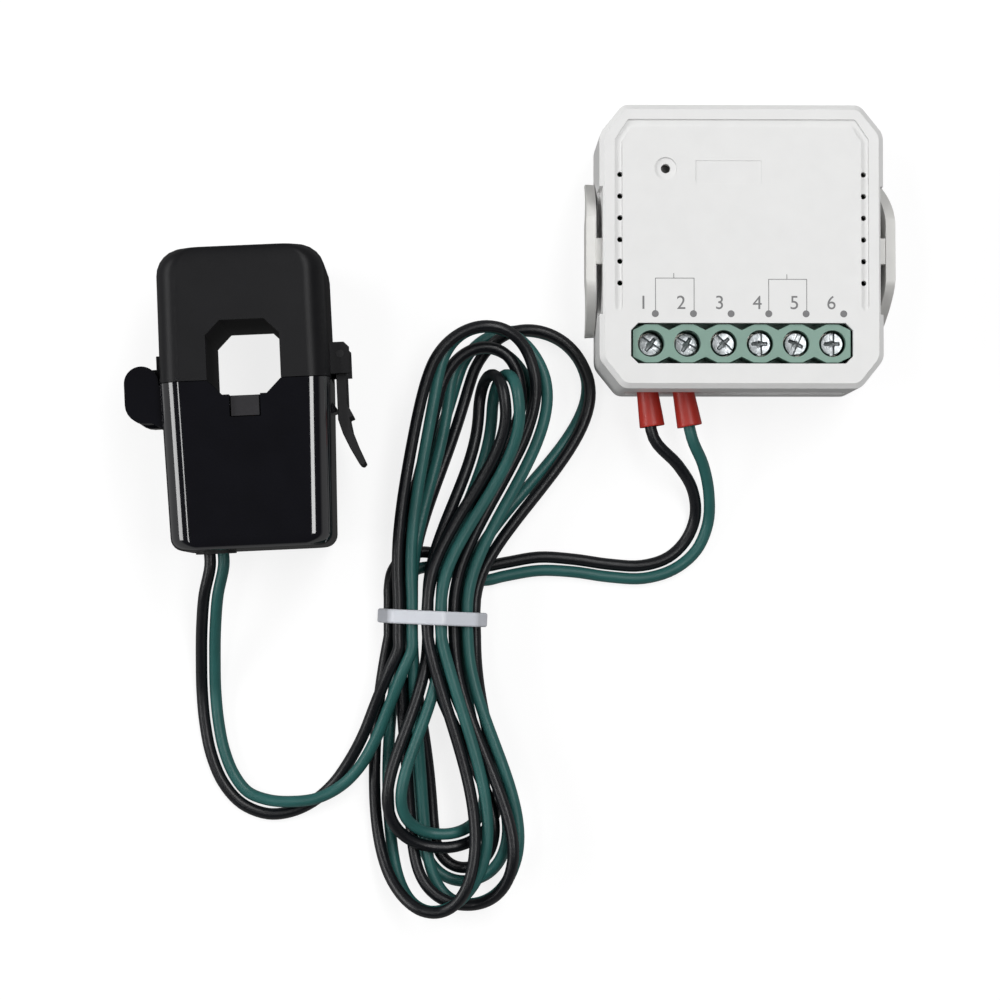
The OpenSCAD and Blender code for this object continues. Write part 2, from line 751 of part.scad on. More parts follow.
module terminal_block() {
    color("mediumaquamarine") difference() {
        union() {
            box([-block_half_w, block_low_y, board_top], [block_half_w, block_top_y, block_z]);
            for (i = [1:terminal_count]) {
                translate([terminal_x(i), terminal_y, block_z - eps])
                    linear_extrude(lobe_z - block_z + eps) lobe_shape();
            }
        }
        for (i = [1:terminal_count]) {
            x = terminal_x(i);
            translate([x, terminal_y, frame_top]) cylinder(d = screw_bore, h = body_d);
            box([x - frame_w / 2 - fit_gap, frame_y - frame_l / 2 - fit_gap, board_top - 1],
                [x + frame_w / 2 + fit_gap, frame_y + frame_l / 2 + fit_gap, frame_top + 0.2]);
            box([x - entry_half, block_low_y - 1, wire_z - entry_rise],
                [x + entry_half, frame_y, wire_z + entry_rise]);
        }
    }
}

module terminal_frames() {
    color("silver") for (i = [1:terminal_count]) {
        x = terminal_x(i);
        difference() {
            union() {
                box([x - frame_w / 2, frame_y - frame_l / 2, frame_low],
                    [x + frame_w / 2, frame_y + frame_l / 2, frame_top]);
                box([x - pin_w / 2, frame_y - pin_l / 2, pin_low],
                    [x + pin_w / 2, frame_y + pin_l / 2, frame_low + eps]);
            }
            box([x - window_in / 2, frame_y - frame_l, window_low],
                [x + window_in / 2, frame_y + frame_l, window_top]);
            translate([x, terminal_y, window_top - 1])
                cylinder(d = screw_d + 2 * run_gap, h = frame_top);
        }
    }
}

module terminal_screw(i) {
    low = foot_low + foot_t + lift(i);
    color("gainsboro") translate([terminal_x(i), terminal_y, low]) difference() {
        union() {
            cylinder(d = screw_d, h = shank_l + eps);
            translate([0, 0, shank_l]) cylinder(d = head_d, h = head_h);
        }
        translate([0, 0, shank_l + head_h]) rotate([0, 0, slot_turns[i - 1]]) {
            cube([head_d + 1, slot_w, 2 * slot_depth], center = true);
            cube([slot_w, head_d * 0.6, 2 * cross_depth], center = true);
        }
    }
}

module clamp_foot(i) {
    low = foot_low + lift(i);
    color("silver")
        box([terminal_x(i) - window_in / 2 + fit_gap, terminal_y - foot_half_l, low],
            [terminal_x(i) + window_in / 2 - fit_gap, terminal_y + foot_half_l, low + foot_t]);
}

module main_board() {
    color("darkgreen") difference() {
        translate([0, 0, board_z]) linear_extrude(board_t) outline(wall + 0.2);
        for (i = [1:terminal_count]) {
            box([terminal_x(i) - pin_w / 2 - fit_gap, frame_y - pin_l / 2 - fit_gap, board_z - 1],
                [terminal_x(i) + pin_w / 2 + fit_gap, frame_y + pin_l / 2 + fit_gap, board_top + 1]);
        }
    }
}

module control_board() {
    color("darkgreen") translate([0, 0, control_z]) linear_extrude(control_t) intersection() {
        outline(lip_inset + 0.3);
        translate([-half_w, block_top_y + 0.9]) square([body_w, body_h]);
    }
}

module board_header() {
    color("dimgray") box([-header_w / 2, header_y - header_l / 2, board_top],
        [header_w / 2, header_y + header_l / 2, control_z]);
}

module shield_can() {
    color("lightsteelblue") box([can_x - can_w / 2, can_y - can_l / 2, control_top],
        [can_x + can_w / 2, can_y + can_l / 2, control_top + can_h]);
}

module power_transformer() {
    color("goldenrod") {
        box([coil_x - coil_w / 2, coil_y - coil_w / 2, board_top],
            [coil_x + coil_w / 2, coil_y + coil_w / 2, board_top + coil_foot]);
        box([coil_x - coil_core_w / 2, coil_y - coil_core_l / 2, board_top + coil_foot - eps],
            [coil_x + coil_core_w / 2, coil_y + coil_core_l / 2, board_top + coil_h]);
        box([coil_x - coil_w / 2, coil_y - coil_band_l / 2, board_top + coil_foot - eps],
            [coil_x + coil_w / 2, coil_y + coil_band_l / 2, board_top + coil_band_h]);
    }
}

module bulk_capacitor() {
    x = 9;
    low_y = -3;
    color("midnightblue") {
        translate([x, low_y, board_top + capacitor_d / 2 + 0.04]) rotate([-90, 0, 0])
            cylinder(d = capacitor_d, h = capacitor_l);
        box([x - 1.4, low_y + 1, board_top], [x + 1.4, low_y + capacitor_l - 1, board_top + 1]);
    }
}

module fuse_resistor() {
    color("seagreen") {
        translate([-13.5, -5.5, board_top + 1.6]) rotate([0, 90, 0]) cylinder(d = 2.6, h = 8);
        for (x = [-13, -6.8]) {
            box([x, -5.8, board_top], [x + 0.6, -5.2, board_top + 1]);
        }
    }
}

module varistor() {
    color("steelblue") {
        translate([12.5, -7.6, board_top + 3.2]) rotate([-90, 0, 0]) cylinder(d = 5.6, h = 3);
        for (x = [10.9, 13.5]) {
            box([x, -6.4, board_top], [x + 0.6, -5.8, board_top + 1.6]);
        }
    }
}

module metering_chip() {
    color("black") box([-2.5, -2, board_top], [2.5, 4, board_top + 1.5]);
}

module converter_chip() {
    color("black") box([-2.5, 7, board_top], [2.5, 11, board_top + 1.5]);
}

module burden_resistors() {
    color("black") for (k = [0:3]) {
        box([-3.4 + 2.2 * k, -7.5, board_top], [-1.8 + 2.2 * k, -4.3, board_top + 0.6]);
    }
}

module reset_switch_body() {
    plunger_low = control_top + switch_h - plunger_sunk - plunger_travel - 0.1;
    color("darkslategray") difference() {
        box([reset_x - switch_w / 2, reset_y - switch_w / 2, control_top],
            [reset_x + switch_w / 2, reset_y + switch_w / 2, control_top + switch_h]);
        translate([reset_x, reset_y, plunger_low]) cylinder(d = plunger_d + 2 * run_gap, h = switch_h);
    }
}

module reset_plunger() {
    color("gray") translate([reset_x, reset_y, control_top + switch_h - plunger_sunk])
        cylinder(d = plunger_d, h = plunger_sunk + plunger_out);
}

module status_led() {
    color("lightcyan") box([-2.7, reset_y - 0.9, control_top], [-1.1, reset_y - 0.1, control_top + 0.7]);
}

module ferrule_tubes() {
    color("silver") for (i = [1:clamped_count]) {
        translate([terminal_x(i), collar_y + 0.25, wire_z]) rotate([-90, 0, 0])
            cylinder(d = ferrule_d, h = ferrule_l);
    }
}

module ferrule_collars() {
    color("firebrick") for (i = [1:clamped_count]) {
        translate([terminal_x(i), collar_y, wire_z]) rotate([90, 0, collar_lean[i - 1]]) difference() {
            cylinder(d = collar_d, h = collar_l);
            translate([0, 0, collar_end]) cylinder(d = collar_bore, h = collar_l);
        }
    }
}

module monitor_lead(i, side, route) {
    lead_tube(concat(
        [hank_end(8, side, half_pass), hank_end(8, side, half_pass + core_dia)],
        route,
        [collar_point(i, collar_l + core_dia), collar_point(i, collar_end)]
    ));
}

module clamp_lead(side, route) {
    u = grommet_u - side * core_pitch / 2;
    v = -ct_base_l - grommet_out;
    lead_tube(concat(
        [hank_end(0, side, -half_pass), hank_end(0, side, -half_pass - core_dia)],
        route,
        [clamp_point(u, v - core_dia, grommet_z), clamp_point(u, v + grommet_depth, grommet_z)]
    ));
}

module black_lead_monitor_end() {
    color("black") monitor_lead(1, 1, black_monitor_route);
}

module green_lead_monitor_end() {
    color("teal") monitor_lead(2, -1, green_monitor_route);
}

module black_lead_clamp_end() {
    color("black") clamp_lead(1, black_clamp_route);
}

module green_lead_clamp_end() {
    color("teal") clamp_lead(-1, green_clamp_route);
}

module hank_core(side) {
    line = hank_line(side);
    rings = [for (i = [0:len(line) - 1]) [line[i], hank_rings[i][1], hank_rings[i][2]]];
    translate([hank_x, hank_y, 0]) ring_tube(rings, core_dia / 2, hank_sides);
}

module black_hank() {
    color("black") hank_core(1);
}

module green_hank() {
    color("teal") hank_core(-1);
}

// Cable tie: a band drawn tight round all the passes
module pass_hull(r) {
    hull() for (p = passes, s = [-1, 1]) {
        translate([p[0] + s * core_pitch / 2, p[1]]) circle(r = r, $fn = 32);
    }
}

module cable_tie() {
    color("white") translate([hank_x, hank_y, 0]) rotate([90, 0, tie_turn])
        linear_extrude(tie_w, center = true) difference() {
            pass_hull(core_dia / 2 + tie_gap + tie_t);
            pass_hull(core_dia / 2 + tie_gap);
        }
}

// One thin slice across a clamp shell
module slab(v, w, d, r) {
    translate([0, v, ct_d / 2]) rotate([90, 0, 0]) linear_extrude(eps, center = true)
        polygon(rounded_points(w, d, r));
}

// Half of the clamp's outer form, drawn in by an even distance. way is 1 for the cap, -1 for the base
module clamp_form(way, length, end_w, corner, inset, start) {
    r = max(corner - inset, 0.3);
    fillet = max(ct_end_fillet - inset, 0.3);
    edge = ct_edge_r - inset;
    hull() {
        slab(way * start, ct_w - 2 * inset, ct_d - 2 * inset, edge);
        for (a = [0:15:90]) {
            slab(way * (length - inset - r * (1 - sin(a))),
                end_w - 2 * inset - 2 * r * (1 - cos(a)),
                ct_d - 2 * inset - 2 * fillet * (1 - cos(a)),
                edge - fillet * (1 - cos(a)) * 0.5);
        }
    }
}

module base_form(inset, start) {
    clamp_form(-1, ct_base_l, ct_end_w, ct_base_r, inset, start);
}

module cap_form(inset, start) {
    clamp_form(1, ct_cap_l, cap_end_w, ct_cap_r, inset, start);
}

// Pads that hold a core between the front and rear walls
module core_pads(low, high) {
    for (s = [-1, 1]) {
        u = s * (leg_in + leg_out) / 2;
        box([u - 1, low, ct_wall - 0.3], [u + 1, high, core_z - fit_gap]);
        box([u - 1, low, ct_d - core_z + fit_gap], [u + 1, high, ct_d - ct_wall + 0.3]);
    }
}

module grommet_shape(r) {
    for (s = [-1, 1]) {
        translate([s * core_pitch / 2, 0]) circle(r = r);
    }
    square([core_pitch, 2 * r], center = true);
}

module at_grommet(v) {
    translate([grommet_u, v, grommet_z]) rotate([-90, 0, 0]) children();
}

module ear_shape() {
    bite = -ct_w / 2 + wall_bite;
    turn = [
        for (a = [180:15:270])
            [hinge_u - ear_r + ear_bend * (1 + cos(a)), ear_bend * (1 + sin(a)) - ear_drop]
    ];
    translate([hinge_u, hinge_v]) circle(r = ear_r);
    polygon(concat(
        [[hinge_u - ear_r, hinge_v]],
        turn,
        [[hinge_u + ear_step, -ear_drop], [bite, -ear_foot], [bite, -split_gap / 2],
         [hinge_u + ear_r - 0.1, -split_gap / 2], [hinge_u, hinge_v]]
    ));
}

module ct_base_shell() {
    half_gap = split_gap / 2;
    color([0.08, 0.08, 0.1]) at_clamp() difference() {
        union() {
            difference() {
                base_form(0, half_gap);
                base_form(ct_wall, -1);
            }
            linear_extrude(ct_d) intersection() {
                polygon(hole_points(liner_t));
                translate([-ct_w / 2, -ct_base_l]) square([ct_w, ct_base_l - half_gap]);
            }
            core_pads(base_yoke_v + 1, -2);
            for (s = [-1, 1]) {
                box([s * 8 - 1.2, -ct_base_l + ct_wall - 0.2, ct_d / 2 + 0.5],
                    [s * 8 + 1.2, base_yoke_v - fit_gap, ct_d / 2 + 7]);
            }
            for (z = [hinge_low, hinge_low + hinge_l - ear_l]) {
                translate([0, 0, z]) linear_extrude(ear_l) ear_shape();
            }
            translate([0, 0, ct_d / 2 - 3]) linear_extrude(6)
                polygon([[ct_w / 2 - 0.4, -2.6], [strap_u - 0.15, -3.9], [strap_u - 0.15, -4.4],
                    [ct_w / 2 - 0.4, -4.7]]);
        }
        translate([0, 0, -1]) linear_extrude(ct_d + 2) polygon(hole_points(0));
        box([-notch_half, notch_v, ct_d - ct_wall - 1.2], [notch_half, hole_low + 0.1, ct_d + 1]);
        translate([hinge_u, hinge_v, hinge_low - 1])
            cylinder(d = hinge_pin_d + 0.02, h = hinge_l + 1 - ear_cover);
        at_grommet(-ct_base_l - 1) linear_extrude(ct_wall + 2) grommet_shape(grommet_r + fit_gap);
    }
}

module ct_cap_shell() {
    half_gap = split_gap / 2;
    knuckle_z = hinge_low + ear_l + ear_gap;
    knuckle_l = hinge_l - 2 * ear_l - 2 * ear_gap;
    color([0.15, 0.15, 0.16]) at_clamp() difference() {
        union() {
            difference() {
                cap_form(0, half_gap);
                cap_form(ct_wall, -1);
            }
            linear_extrude(ct_d) intersection() {
                polygon(hole_points(liner_t));
                translate([-ct_w / 2, half_gap]) square([ct_w, ct_cap_l]);
            }
            core_pads(2, cap_yoke_top - 1);
            translate([0, 0, knuckle_z]) linear_extrude(knuckle_l) {
                translate([hinge_u, hinge_v]) circle(r = knuckle_r);
                translate([hinge_u, 0.1]) square([hinge_out + wall_bite, hinge_v + knuckle_r - 0.1]);
                translate([-ct_w / 2 - 0.85, 0.1]) square([0.85 + wall_bite, 4.1]);
            }
            for (z = [latch_low - cheek_gap - cheek_t, latch_low + latch_w + cheek_gap]) {
                translate([0, 0, z]) linear_extrude(cheek_t) {
                    polygon([[ct_w / 2 - wall_bite, cheek_low], [latch_u + cheek_out, cheek_low],
                        [latch_u + cheek_out, cheek_top - cheek_cut],
                        [latch_u + cheek_out - cheek_cut, cheek_top], [ct_w / 2 - wall_bite, cheek_top]]);
                }
            }
        }
        translate([0, 0, -1]) linear_extrude(ct_d + 2) polygon(hole_points(0));
        translate([hinge_u, hinge_v, knuckle_z - 1])
            cylinder(d = hinge_pin_d + 2 * run_gap, h = knuckle_l + 2);
        translate([latch_u, latch_v, latch_low - cheek_t - 1])
            cylinder(d = latch_pin_d + 0.02, h = latch_w + 2 * cheek_t + 2);
    }
}

module ct_hinge_pin() {
    color("dimgray") at_clamp() translate([hinge_u, hinge_v, hinge_low])
        cylinder(d = hinge_pin_d, h = hinge_l - ear_cover - 0.1);
}

module latch_shape() {
    inner = strap_u;
    outer = strap_u + latch_t;
    translate([latch_u, latch_v]) circle(r = latch_hub_r);
    polygon(concat(
        [[inner, latch_v]],
        [for (p = latch_curl) [inner + p[0], p[1]]],
        [for (p = latch_back) [outer + p[0], p[1]]],
        [[outer, latch_v]]
    ));
}

module ct_latch_arm() {
    color([0.16, 0.16, 0.17]) at_clamp() difference() {
        translate([0, 0, latch_low]) linear_extrude(latch_w) latch_shape();
        translate([latch_u, latch_v, latch_low - 1])
            cylinder(d = latch_pin_d + 2 * run_gap, h = latch_w + 2);
    }
}

module ct_latch_pin() {
    color("dimgray") at_clamp() translate([latch_u, latch_v, latch_low - cheek_gap - cheek_t])
        cylinder(d = latch_pin_d, h = latch_w + 2 * cheek_gap + 2 * cheek_t);
}

module ct_base_core() {
    color("slategray") at_clamp() translate([0, 0, core_z]) linear_extrude(core_d)
        polygon([[-leg_out, -0.05], [-leg_out, base_yoke_v], [leg_out, base_yoke_v], [leg_out, -0.05],
            [leg_in, -0.05], [leg_in, base_yoke_top], [-leg_in, base_yoke_top], [-leg_in, -0.05]]);
}

module ct_cap_core() {
    color("slategray") at_clamp() translate([0, 0, core_z]) linear_extrude(core_d)
        polygon([[-leg_out, 0.05], [-leg_out, cap_yoke_top], [leg_out, cap_yoke_top], [leg_out, 0.05],
            [leg_in, 0.05], [leg_in, cap_yoke_v], [-leg_in, cap_yoke_v], [-leg_in, 0.05]]);
}

module ct_bobbin() {
    inner_z = core_z - fit_gap;
    outer_z = inner_z - bobbin_wall;
    flange_z = outer_z - flange_share * (outer_z - ct_wall);
    top = base_yoke_top + fit_gap + bobbin_wall;
    low = base_yoke_v - fit_gap - bobbin_wall;
    bar_v = hole_low - liner_t - 0.2;
    color("gainsboro") at_clamp() difference() {
        union() {
            box([-flange_u, low, outer_z], [flange_u, top, ct_d - outer_z]);
            for (s = [-1, 1]) {
                u = s * (flange_u - flange_t / 2);
                box([u - flange_t / 2, low - flange_rise, flange_z],
                    [u + flange_t / 2, bar_v, ct_d - flange_z]);
            }
            box([-flange_u, bar_v - 1.4, ct_d - core_z], [flange_u, bar_v, ct_d - ct_wall - 0.2]);
            box([fit_gap * 2 - notch_half, notch_v + 0.15, ct_d - ct_wall - 0.9],
                [notch_half - fit_gap * 2, hole_low - 0.2, ct_d - tongue_back]);
        }
        box([-leg_out, base_yoke_v - fit_gap, inner_z], [leg_out, base_yoke_top + fit_gap, ct_d - inner_z]);
    }
}

module ct_winding() {
    clear_z = core_z - fit_gap - bobbin_wall - winding_gap;
    side_z = clear_z - winding_share * (clear_z - ct_wall);
    half_u = flange_u - flange_t - fit_gap;
    top = base_yoke_top + fit_gap + bobbin_wall + winding_gap;
    low = base_yoke_v - fit_gap - bobbin_wall - winding_gap;
    color("peru") at_clamp() difference() {
        box([-half_u, low - winding_t, side_z], [half_u, top + winding_t, ct_d - side_z]);
        box([-leg_out, low, clear_z], [leg_out, top, ct_d - clear_z]);
    }
}

// Core spring: an arched leaf between the cap core and the cap's ceiling
module ct_core_spring() {
    span = spring_half;
    low = cap_yoke_top + winding_gap;
    rise = ct_cap_l - ct_wall - low - leaf_t - winding_gap;
    top = [for (k = [-8:8]) [span * k / 8, low + leaf_t + rise * (1 - pow(k / 8, 2))]];
    under = [for (k = [8:-1:-8]) [span * k / 8, low + rise * (1 - pow(k / 8, 2))]];
    color("silver") at_clamp() translate([0, 0, (ct_d - spring_w) / 2]) linear_extrude(spring_w)
        polygon(concat(top, under));
}

module lead_grommet() {
    color([0.1, 0.1, 0.1]) at_clamp() difference() {
        union() {
            at_grommet(-ct_base_l - grommet_out)
                linear_extrude(ct_wall + grommet_out + fit_gap) grommet_shape(grommet_r);
            at_grommet(-ct_base_l + ct_wall + fit_gap - eps)
                linear_extrude(1) grommet_shape(grommet_r + 0.7);
        }
        for (s = [-1, 1]) {
            at_grommet(-ct_base_l - grommet_out - 1) translate([s * core_pitch / 2, 0, 0])
                cylinder(r = grommet_bore, h = 1 + grommet_depth);
        }
    }
}

rear_case();
front_cover();
left_spring_clip();
right_spring_clip();
terminal_block();
terminal_frames();
for (i = [1:terminal_count]) {
    terminal_screw(i);
    clamp_foot(i);
}
main_board();
control_board();
board_header();
shield_can();
power_transformer();
bulk_capacitor();
fuse_resistor();
varistor();
metering_chip();
converter_chip();
burden_resistors();
reset_switch_body();
reset_plunger();
status_led();
ferrule_tubes();
ferrule_collars();
black_lead_monitor_end();
green_lead_monitor_end();
black_hank();
green_hank();
black_lead_clamp_end();
green_lead_clamp_end();
cable_tie();
ct_base_shell();
ct_cap_shell();
ct_hinge_pin();
ct_latch_arm();
ct_latch_pin();
ct_base_core();
ct_cap_core();
ct_bobbin();
ct_winding();
ct_core_spring();
lead_grommet();
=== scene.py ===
"""Looks of the smart energy monitor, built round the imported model.

Sizes of pieces are in millimetres, as in the part's source. The camera, lights and floor are in metres.
"""
import json
import math

import bmesh
import bpy
from mathutils import Matrix, Vector


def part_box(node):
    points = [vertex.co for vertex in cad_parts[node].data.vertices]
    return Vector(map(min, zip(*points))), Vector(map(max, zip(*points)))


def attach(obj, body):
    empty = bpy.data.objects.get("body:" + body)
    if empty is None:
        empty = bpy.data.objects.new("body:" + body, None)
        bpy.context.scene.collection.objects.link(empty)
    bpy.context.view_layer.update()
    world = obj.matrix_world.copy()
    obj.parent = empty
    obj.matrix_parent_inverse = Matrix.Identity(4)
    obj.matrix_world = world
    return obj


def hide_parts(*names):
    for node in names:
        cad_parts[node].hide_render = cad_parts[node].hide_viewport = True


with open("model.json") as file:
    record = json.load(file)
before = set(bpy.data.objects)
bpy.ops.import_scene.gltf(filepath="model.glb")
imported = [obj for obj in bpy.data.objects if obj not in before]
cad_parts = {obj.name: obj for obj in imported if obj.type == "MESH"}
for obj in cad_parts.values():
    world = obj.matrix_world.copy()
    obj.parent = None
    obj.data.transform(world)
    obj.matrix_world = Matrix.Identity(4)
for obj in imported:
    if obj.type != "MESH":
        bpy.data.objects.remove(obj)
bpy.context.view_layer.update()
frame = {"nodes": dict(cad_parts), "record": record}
NODES = frame["nodes"]
ROOT = "monitor_and_lead"
MM = 0.001


# Camera

CAMERA_EYE = (-0.04085, -0.04884, 0.446)
CAMERA_AIM = (-0.0330, -0.03442, 0.0)
CAMERA_LENS = 112.46
SENSOR_WIDTH = 36.0
CLIP_RANGE = (0.01, 5.0)


def new_object(name, data):
    """An object of the scene that shows the data."""
    obj = bpy.data.objects.new(name, data)
    bpy.context.scene.collection.objects.link(obj)
    return obj


def looking(eye, aim):
    """Placement of a camera or light at eye that looks at aim, with its upper side towards +Y."""
    ahead = (Vector(aim) - Vector(eye)).normalized()
    right = ahead.cross(Vector((0, 1, 0))).normalized()
    turn = Matrix((right, right.cross(ahead), -ahead)).transposed()
    return Matrix.Translation(Vector(eye)) @ turn.to_4x4()


def make_camera():
    data = bpy.data.cameras.new("photo_camera")
    data.lens = CAMERA_LENS
    data.sensor_width = SENSOR_WIDTH
    data.clip_start, data.clip_end = CLIP_RANGE
    cam = new_object("photo_camera", data)
    cam.matrix_world = looking(CAMERA_EYE, CAMERA_AIM)
    bpy.context.scene.camera = cam


make_camera()


# Route of the twin lead, as in the part's source

CORE_DIA = 1.65
CORE_PITCH = 1.9
HANK = (-42.8, -51.2)
HALF_PASS = 2.6
FALL_RATE = 1.3
LEAN_RATE = 1.2
TWIST_FLAT = 4.0
TWIST_SPAN = 60.0
LOOP_STEPS = 30
RUN_STEP = 0.5
# Where the pair passes the tie: across, height, and the side on which the black core lies
PASSES = [
    (-3.6, 8.2, -1), (4.2, 6.8, -1), (-3.6, 6.1, -1), (0.5, 4.5, -1), (-3.6, 4.0, 1),
    (5.3, 3.9, 1), (0.5, 6.7, -1), (0.5, 8.8, -1), (-5.0, 1.7, -1),
]
LAST_PASS = len(PASSES) - 1
# Loops: way, reach, width, taper and lean, heights going out, at the end and coming back, rise of a fold,
# how the pair lies, the angle at which it stands on edge, and the angles over which the height changes
LOOPS = [
    (1, 38.3, 12.1, 1.4, 7.5, 8.4, 8.4, 6.8, 0, "twist", 90, 30, 30),
    (-1, 37.8, 11.0, 1.9, 4.9, 7.8, 4.0, 3.0, 0, "twist", 75, 40, 55),
    (1, 35.6, 10.8, 1.5, 9.2, 4.8, 4.9, 4.5, 0, "twist", 90, 30, 30),
    (-1, 33.8, 10.4, 2.0, 6.2, 5.4, 1.1, 0.9, 0, "flat", 90, 40, 40),
    (1, 38.3, 14.6, 1.5, 12.6, 1.4, 1.9, 1.9, 0, "twist", 112, 30, 30),
    (-1, 28.8, 14.0, 2.0, -1.2, 0.9, 4.8, 8.2, 0, "flat", 90, 36, 45),
    (1, 31.5, 4.5, 1.6, 9.0, 6.8, 7.8, 8.8, 9.2, "fold", 90, 30, 30),
    (-1, 38.6, 10.2, 1.1, 2.6, 8.4, 6.9, 1.7, 0, "twist", 90, 30, 50),
]
CLAMP_ROUTE = {
    "black": [
        (-48.6, -58.4, 7.8), (-50.5, -63.0, 5.9), (-52.4, -67.8, 4.3), (-54.5, -71.7, 2.4),
        (-56.8, -74.9, 1.1), (-59.6, -77.3, 0.9), (-62.7, -78.7, 0.9), (-66.0, -79.0, 0.9),
        (-69.6, -77.6, 0.9), (-72.3, -74.6, 0.9), (-74.0, -70.6, 0.9), (-74.9, -66.2, 0.9),
        (-75.3, -61.6, 1.3), (-75.3, -57.0, 2.7), (-75.1, -52.6, 4.8), (-74.6, -48.0, 7.0),
    ],
    "green": [
        (-46.9, -59.0, 8.0), (-48.8, -63.9, 6.4), (-50.8, -68.7, 4.9), (-53.0, -72.4, 3.7),
        (-55.6, -75.0, 2.9), (-58.9, -76.7, 2.8), (-62.4, -77.2, 2.4), (-65.9, -77.0, 1.6),
        (-68.8, -75.9, 1.0), (-70.8, -73.4, 0.9), (-72.2, -69.9, 0.9), (-73.0, -65.9, 0.9),
        (-73.4, -61.5, 1.3), (-73.4, -57.0, 2.7), (-73.2, -52.6, 4.8), (-72.7, -48.0, 7.0),
    ],
}
MONITOR_ROUTE = {
    "black": [
        (-48.3, -44.6, 1.4), (-46.9, -42.8, 1.0), (-44.6, -41.9, 0.9), (-41.6, -42.2, 0.9),
        (-38.6, -43.2, 0.9), (-35.6, -43.9, 0.9), (-32.4, -43.4, 0.9), (-27.5, -42.6, 0.9),
        (-22.5, -42.9, 0.9), (-17.5, -43.6, 0.9), (-12.8, -43.8, 0.9), (-9.0, -42.6, 0.9),
        (-6.4, -40.0, 0.9), (-5.2, -36.6, 1.6), (-5.8, -32.9, 3.5), (-8.0, -29.6, 5.6),
    ],
    "green": [
        (-46.3, -45.4, 1.4), (-45.0, -44.4, 1.0), (-43.2, -44.0, 0.9), (-40.8, -44.4, 0.9),
        (-38.0, -45.3, 0.9), (-35.3, -45.9, 0.9), (-32.4, -45.3, 0.9), (-27.5, -44.5, 0.9),
        (-22.5, -44.7, 0.9), (-17.5, -45.4, 0.9), (-12.5, -45.6, 0.9), (-8.2, -44.3, 0.9),
        (-5.0, -41.6, 0.9), (-3.4, -37.8, 1.4), (-3.4, -33.6, 3.3), (-4.4, -29.6, 5.6),
    ],
}
# Collars on the wire ends: place along the terminals and lean in degrees
COLLAR = {"black": (-12.5, 7.7), "green": (-7.5, 10.5)}
COLLAR_Y = -18.35
COLLAR_L = 6.0
COLLAR_END = 1.0
WIRE_Z = 7.2
CLAMP_AT = (-68.0, -18.9)
CLAMP_TURN = 2.6
BASE_L = 22.8
GROMMET_U = -5.9
GROMMET_Z = 8.0
GROMMET_OUT = 0.3
GROMMET_DEPTH = 0.8
# How finely the cores are drawn
ROUTE_STEPS = 5
HANK_STEPS = 3
LEAST_STEP = 0.05
CORE_BEVEL = 5


def smooth(t):
    """Eased from 0 to 1 while t goes from 0 to 1."""
    t = min(max(t, 0.0), 1.0)
    return t * t * (3 - 2 * t)


def loop_line(i, u):
    """Middle of the pair on loop i, u degrees along its half turn."""
    way, reach, wide, taper, lean, z1, zm, z2, rise, _, _, w1, w2 = LOOPS[i]
    x1, low1, _ = PASSES[i]
    x2, low2, _ = PASSES[i + 1]
    c = math.cos(math.radians(u))
    t = max(math.sin(math.radians(u)), 0.0)
    s = (1 - c) / 2
    x = (x1 + x2) / 2 + lean * smooth(LEAN_RATE * t) + ((x1 - x2) / 2 - way * wide * t ** taper) * c
    before = z1 + (zm - z1) * smooth((u - 90 + w1) / w1)
    after = zm + (z2 - zm) * smooth((u - 90) / w2)
    outer = (before if u < 90 else after) - rise * c * t ** 4
    waist = low1 * (1 - s) + low2 * s
    return Vector((x, way * (HALF_PASS + reach * t), waist + (outer - waist) * smooth(FALL_RATE * t)))


def loop_side(i, u):
    """Direction from the middle of the pair to the black core."""
    way, *_, kind, twist, _, _ = LOOPS[i]
    side = PASSES[i][2]
    run = (loop_line(i, min(u + RUN_STEP, 180)) - loop_line(i, max(u - RUN_STEP, 0))).normalized()
    if kind == "twist":
        far = max(0.0, abs(u - twist) - TWIST_FLAT)
        turn = math.radians(90 * smooth(1 - far / TWIST_SPAN))
        e = Vector((side * math.cos(turn), 0, math.sin(turn)))
    elif kind == "fold":
        e = Vector((side, 0, 0))
    else:
        e = Vector((run.y, -run.x, 0)) * side * way
    return (e - run * e.dot(run)).normalized()


def hank_line(side):
    """One core through the whole hank, from the clamp's end to the monitor's end."""
    off = Vector((HANK[0], HANK[1], 0))
    out = []
    for i in range(len(LOOPS)):
        for j in range(LOOP_STEPS + 1):
            u = 180.0 * j / LOOP_STEPS
            if j == 0:
                e = Vector((PASSES[i][2], 0, 0))
            elif j == LOOP_STEPS:
                e = Vector((PASSES[i + 1][2], 0, 0))
            else:
                e = loop_side(i, u)
            out.append(off + loop_line(i, u) + e * side * CORE_PITCH / 2)
    return out


def hank_end(k, side, y):
    """A point of one core straight out of pass k of the tie."""
    x, z, black = PASSES[k]
    return Vector((HANK[0] + x + black * side * CORE_PITCH / 2, HANK[1] + y, z))


def collar_point(name, s):
    """A point on a collar's axis, s outside the module's wall."""
    x, lean = COLLAR[name]
    a = math.radians(lean)
    return Vector((x + s * math.sin(a), COLLAR_Y - s * math.cos(a), WIRE_Z))


def clamp_point(u, v, z):
    """A point in the turned frame of the clamp."""
    a = math.radians(CLAMP_TURN)
    return Vector((CLAMP_AT[0] + u * math.cos(a) - v * math.sin(a),
                   CLAMP_AT[1] + u * math.sin(a) + v * math.cos(a), z))


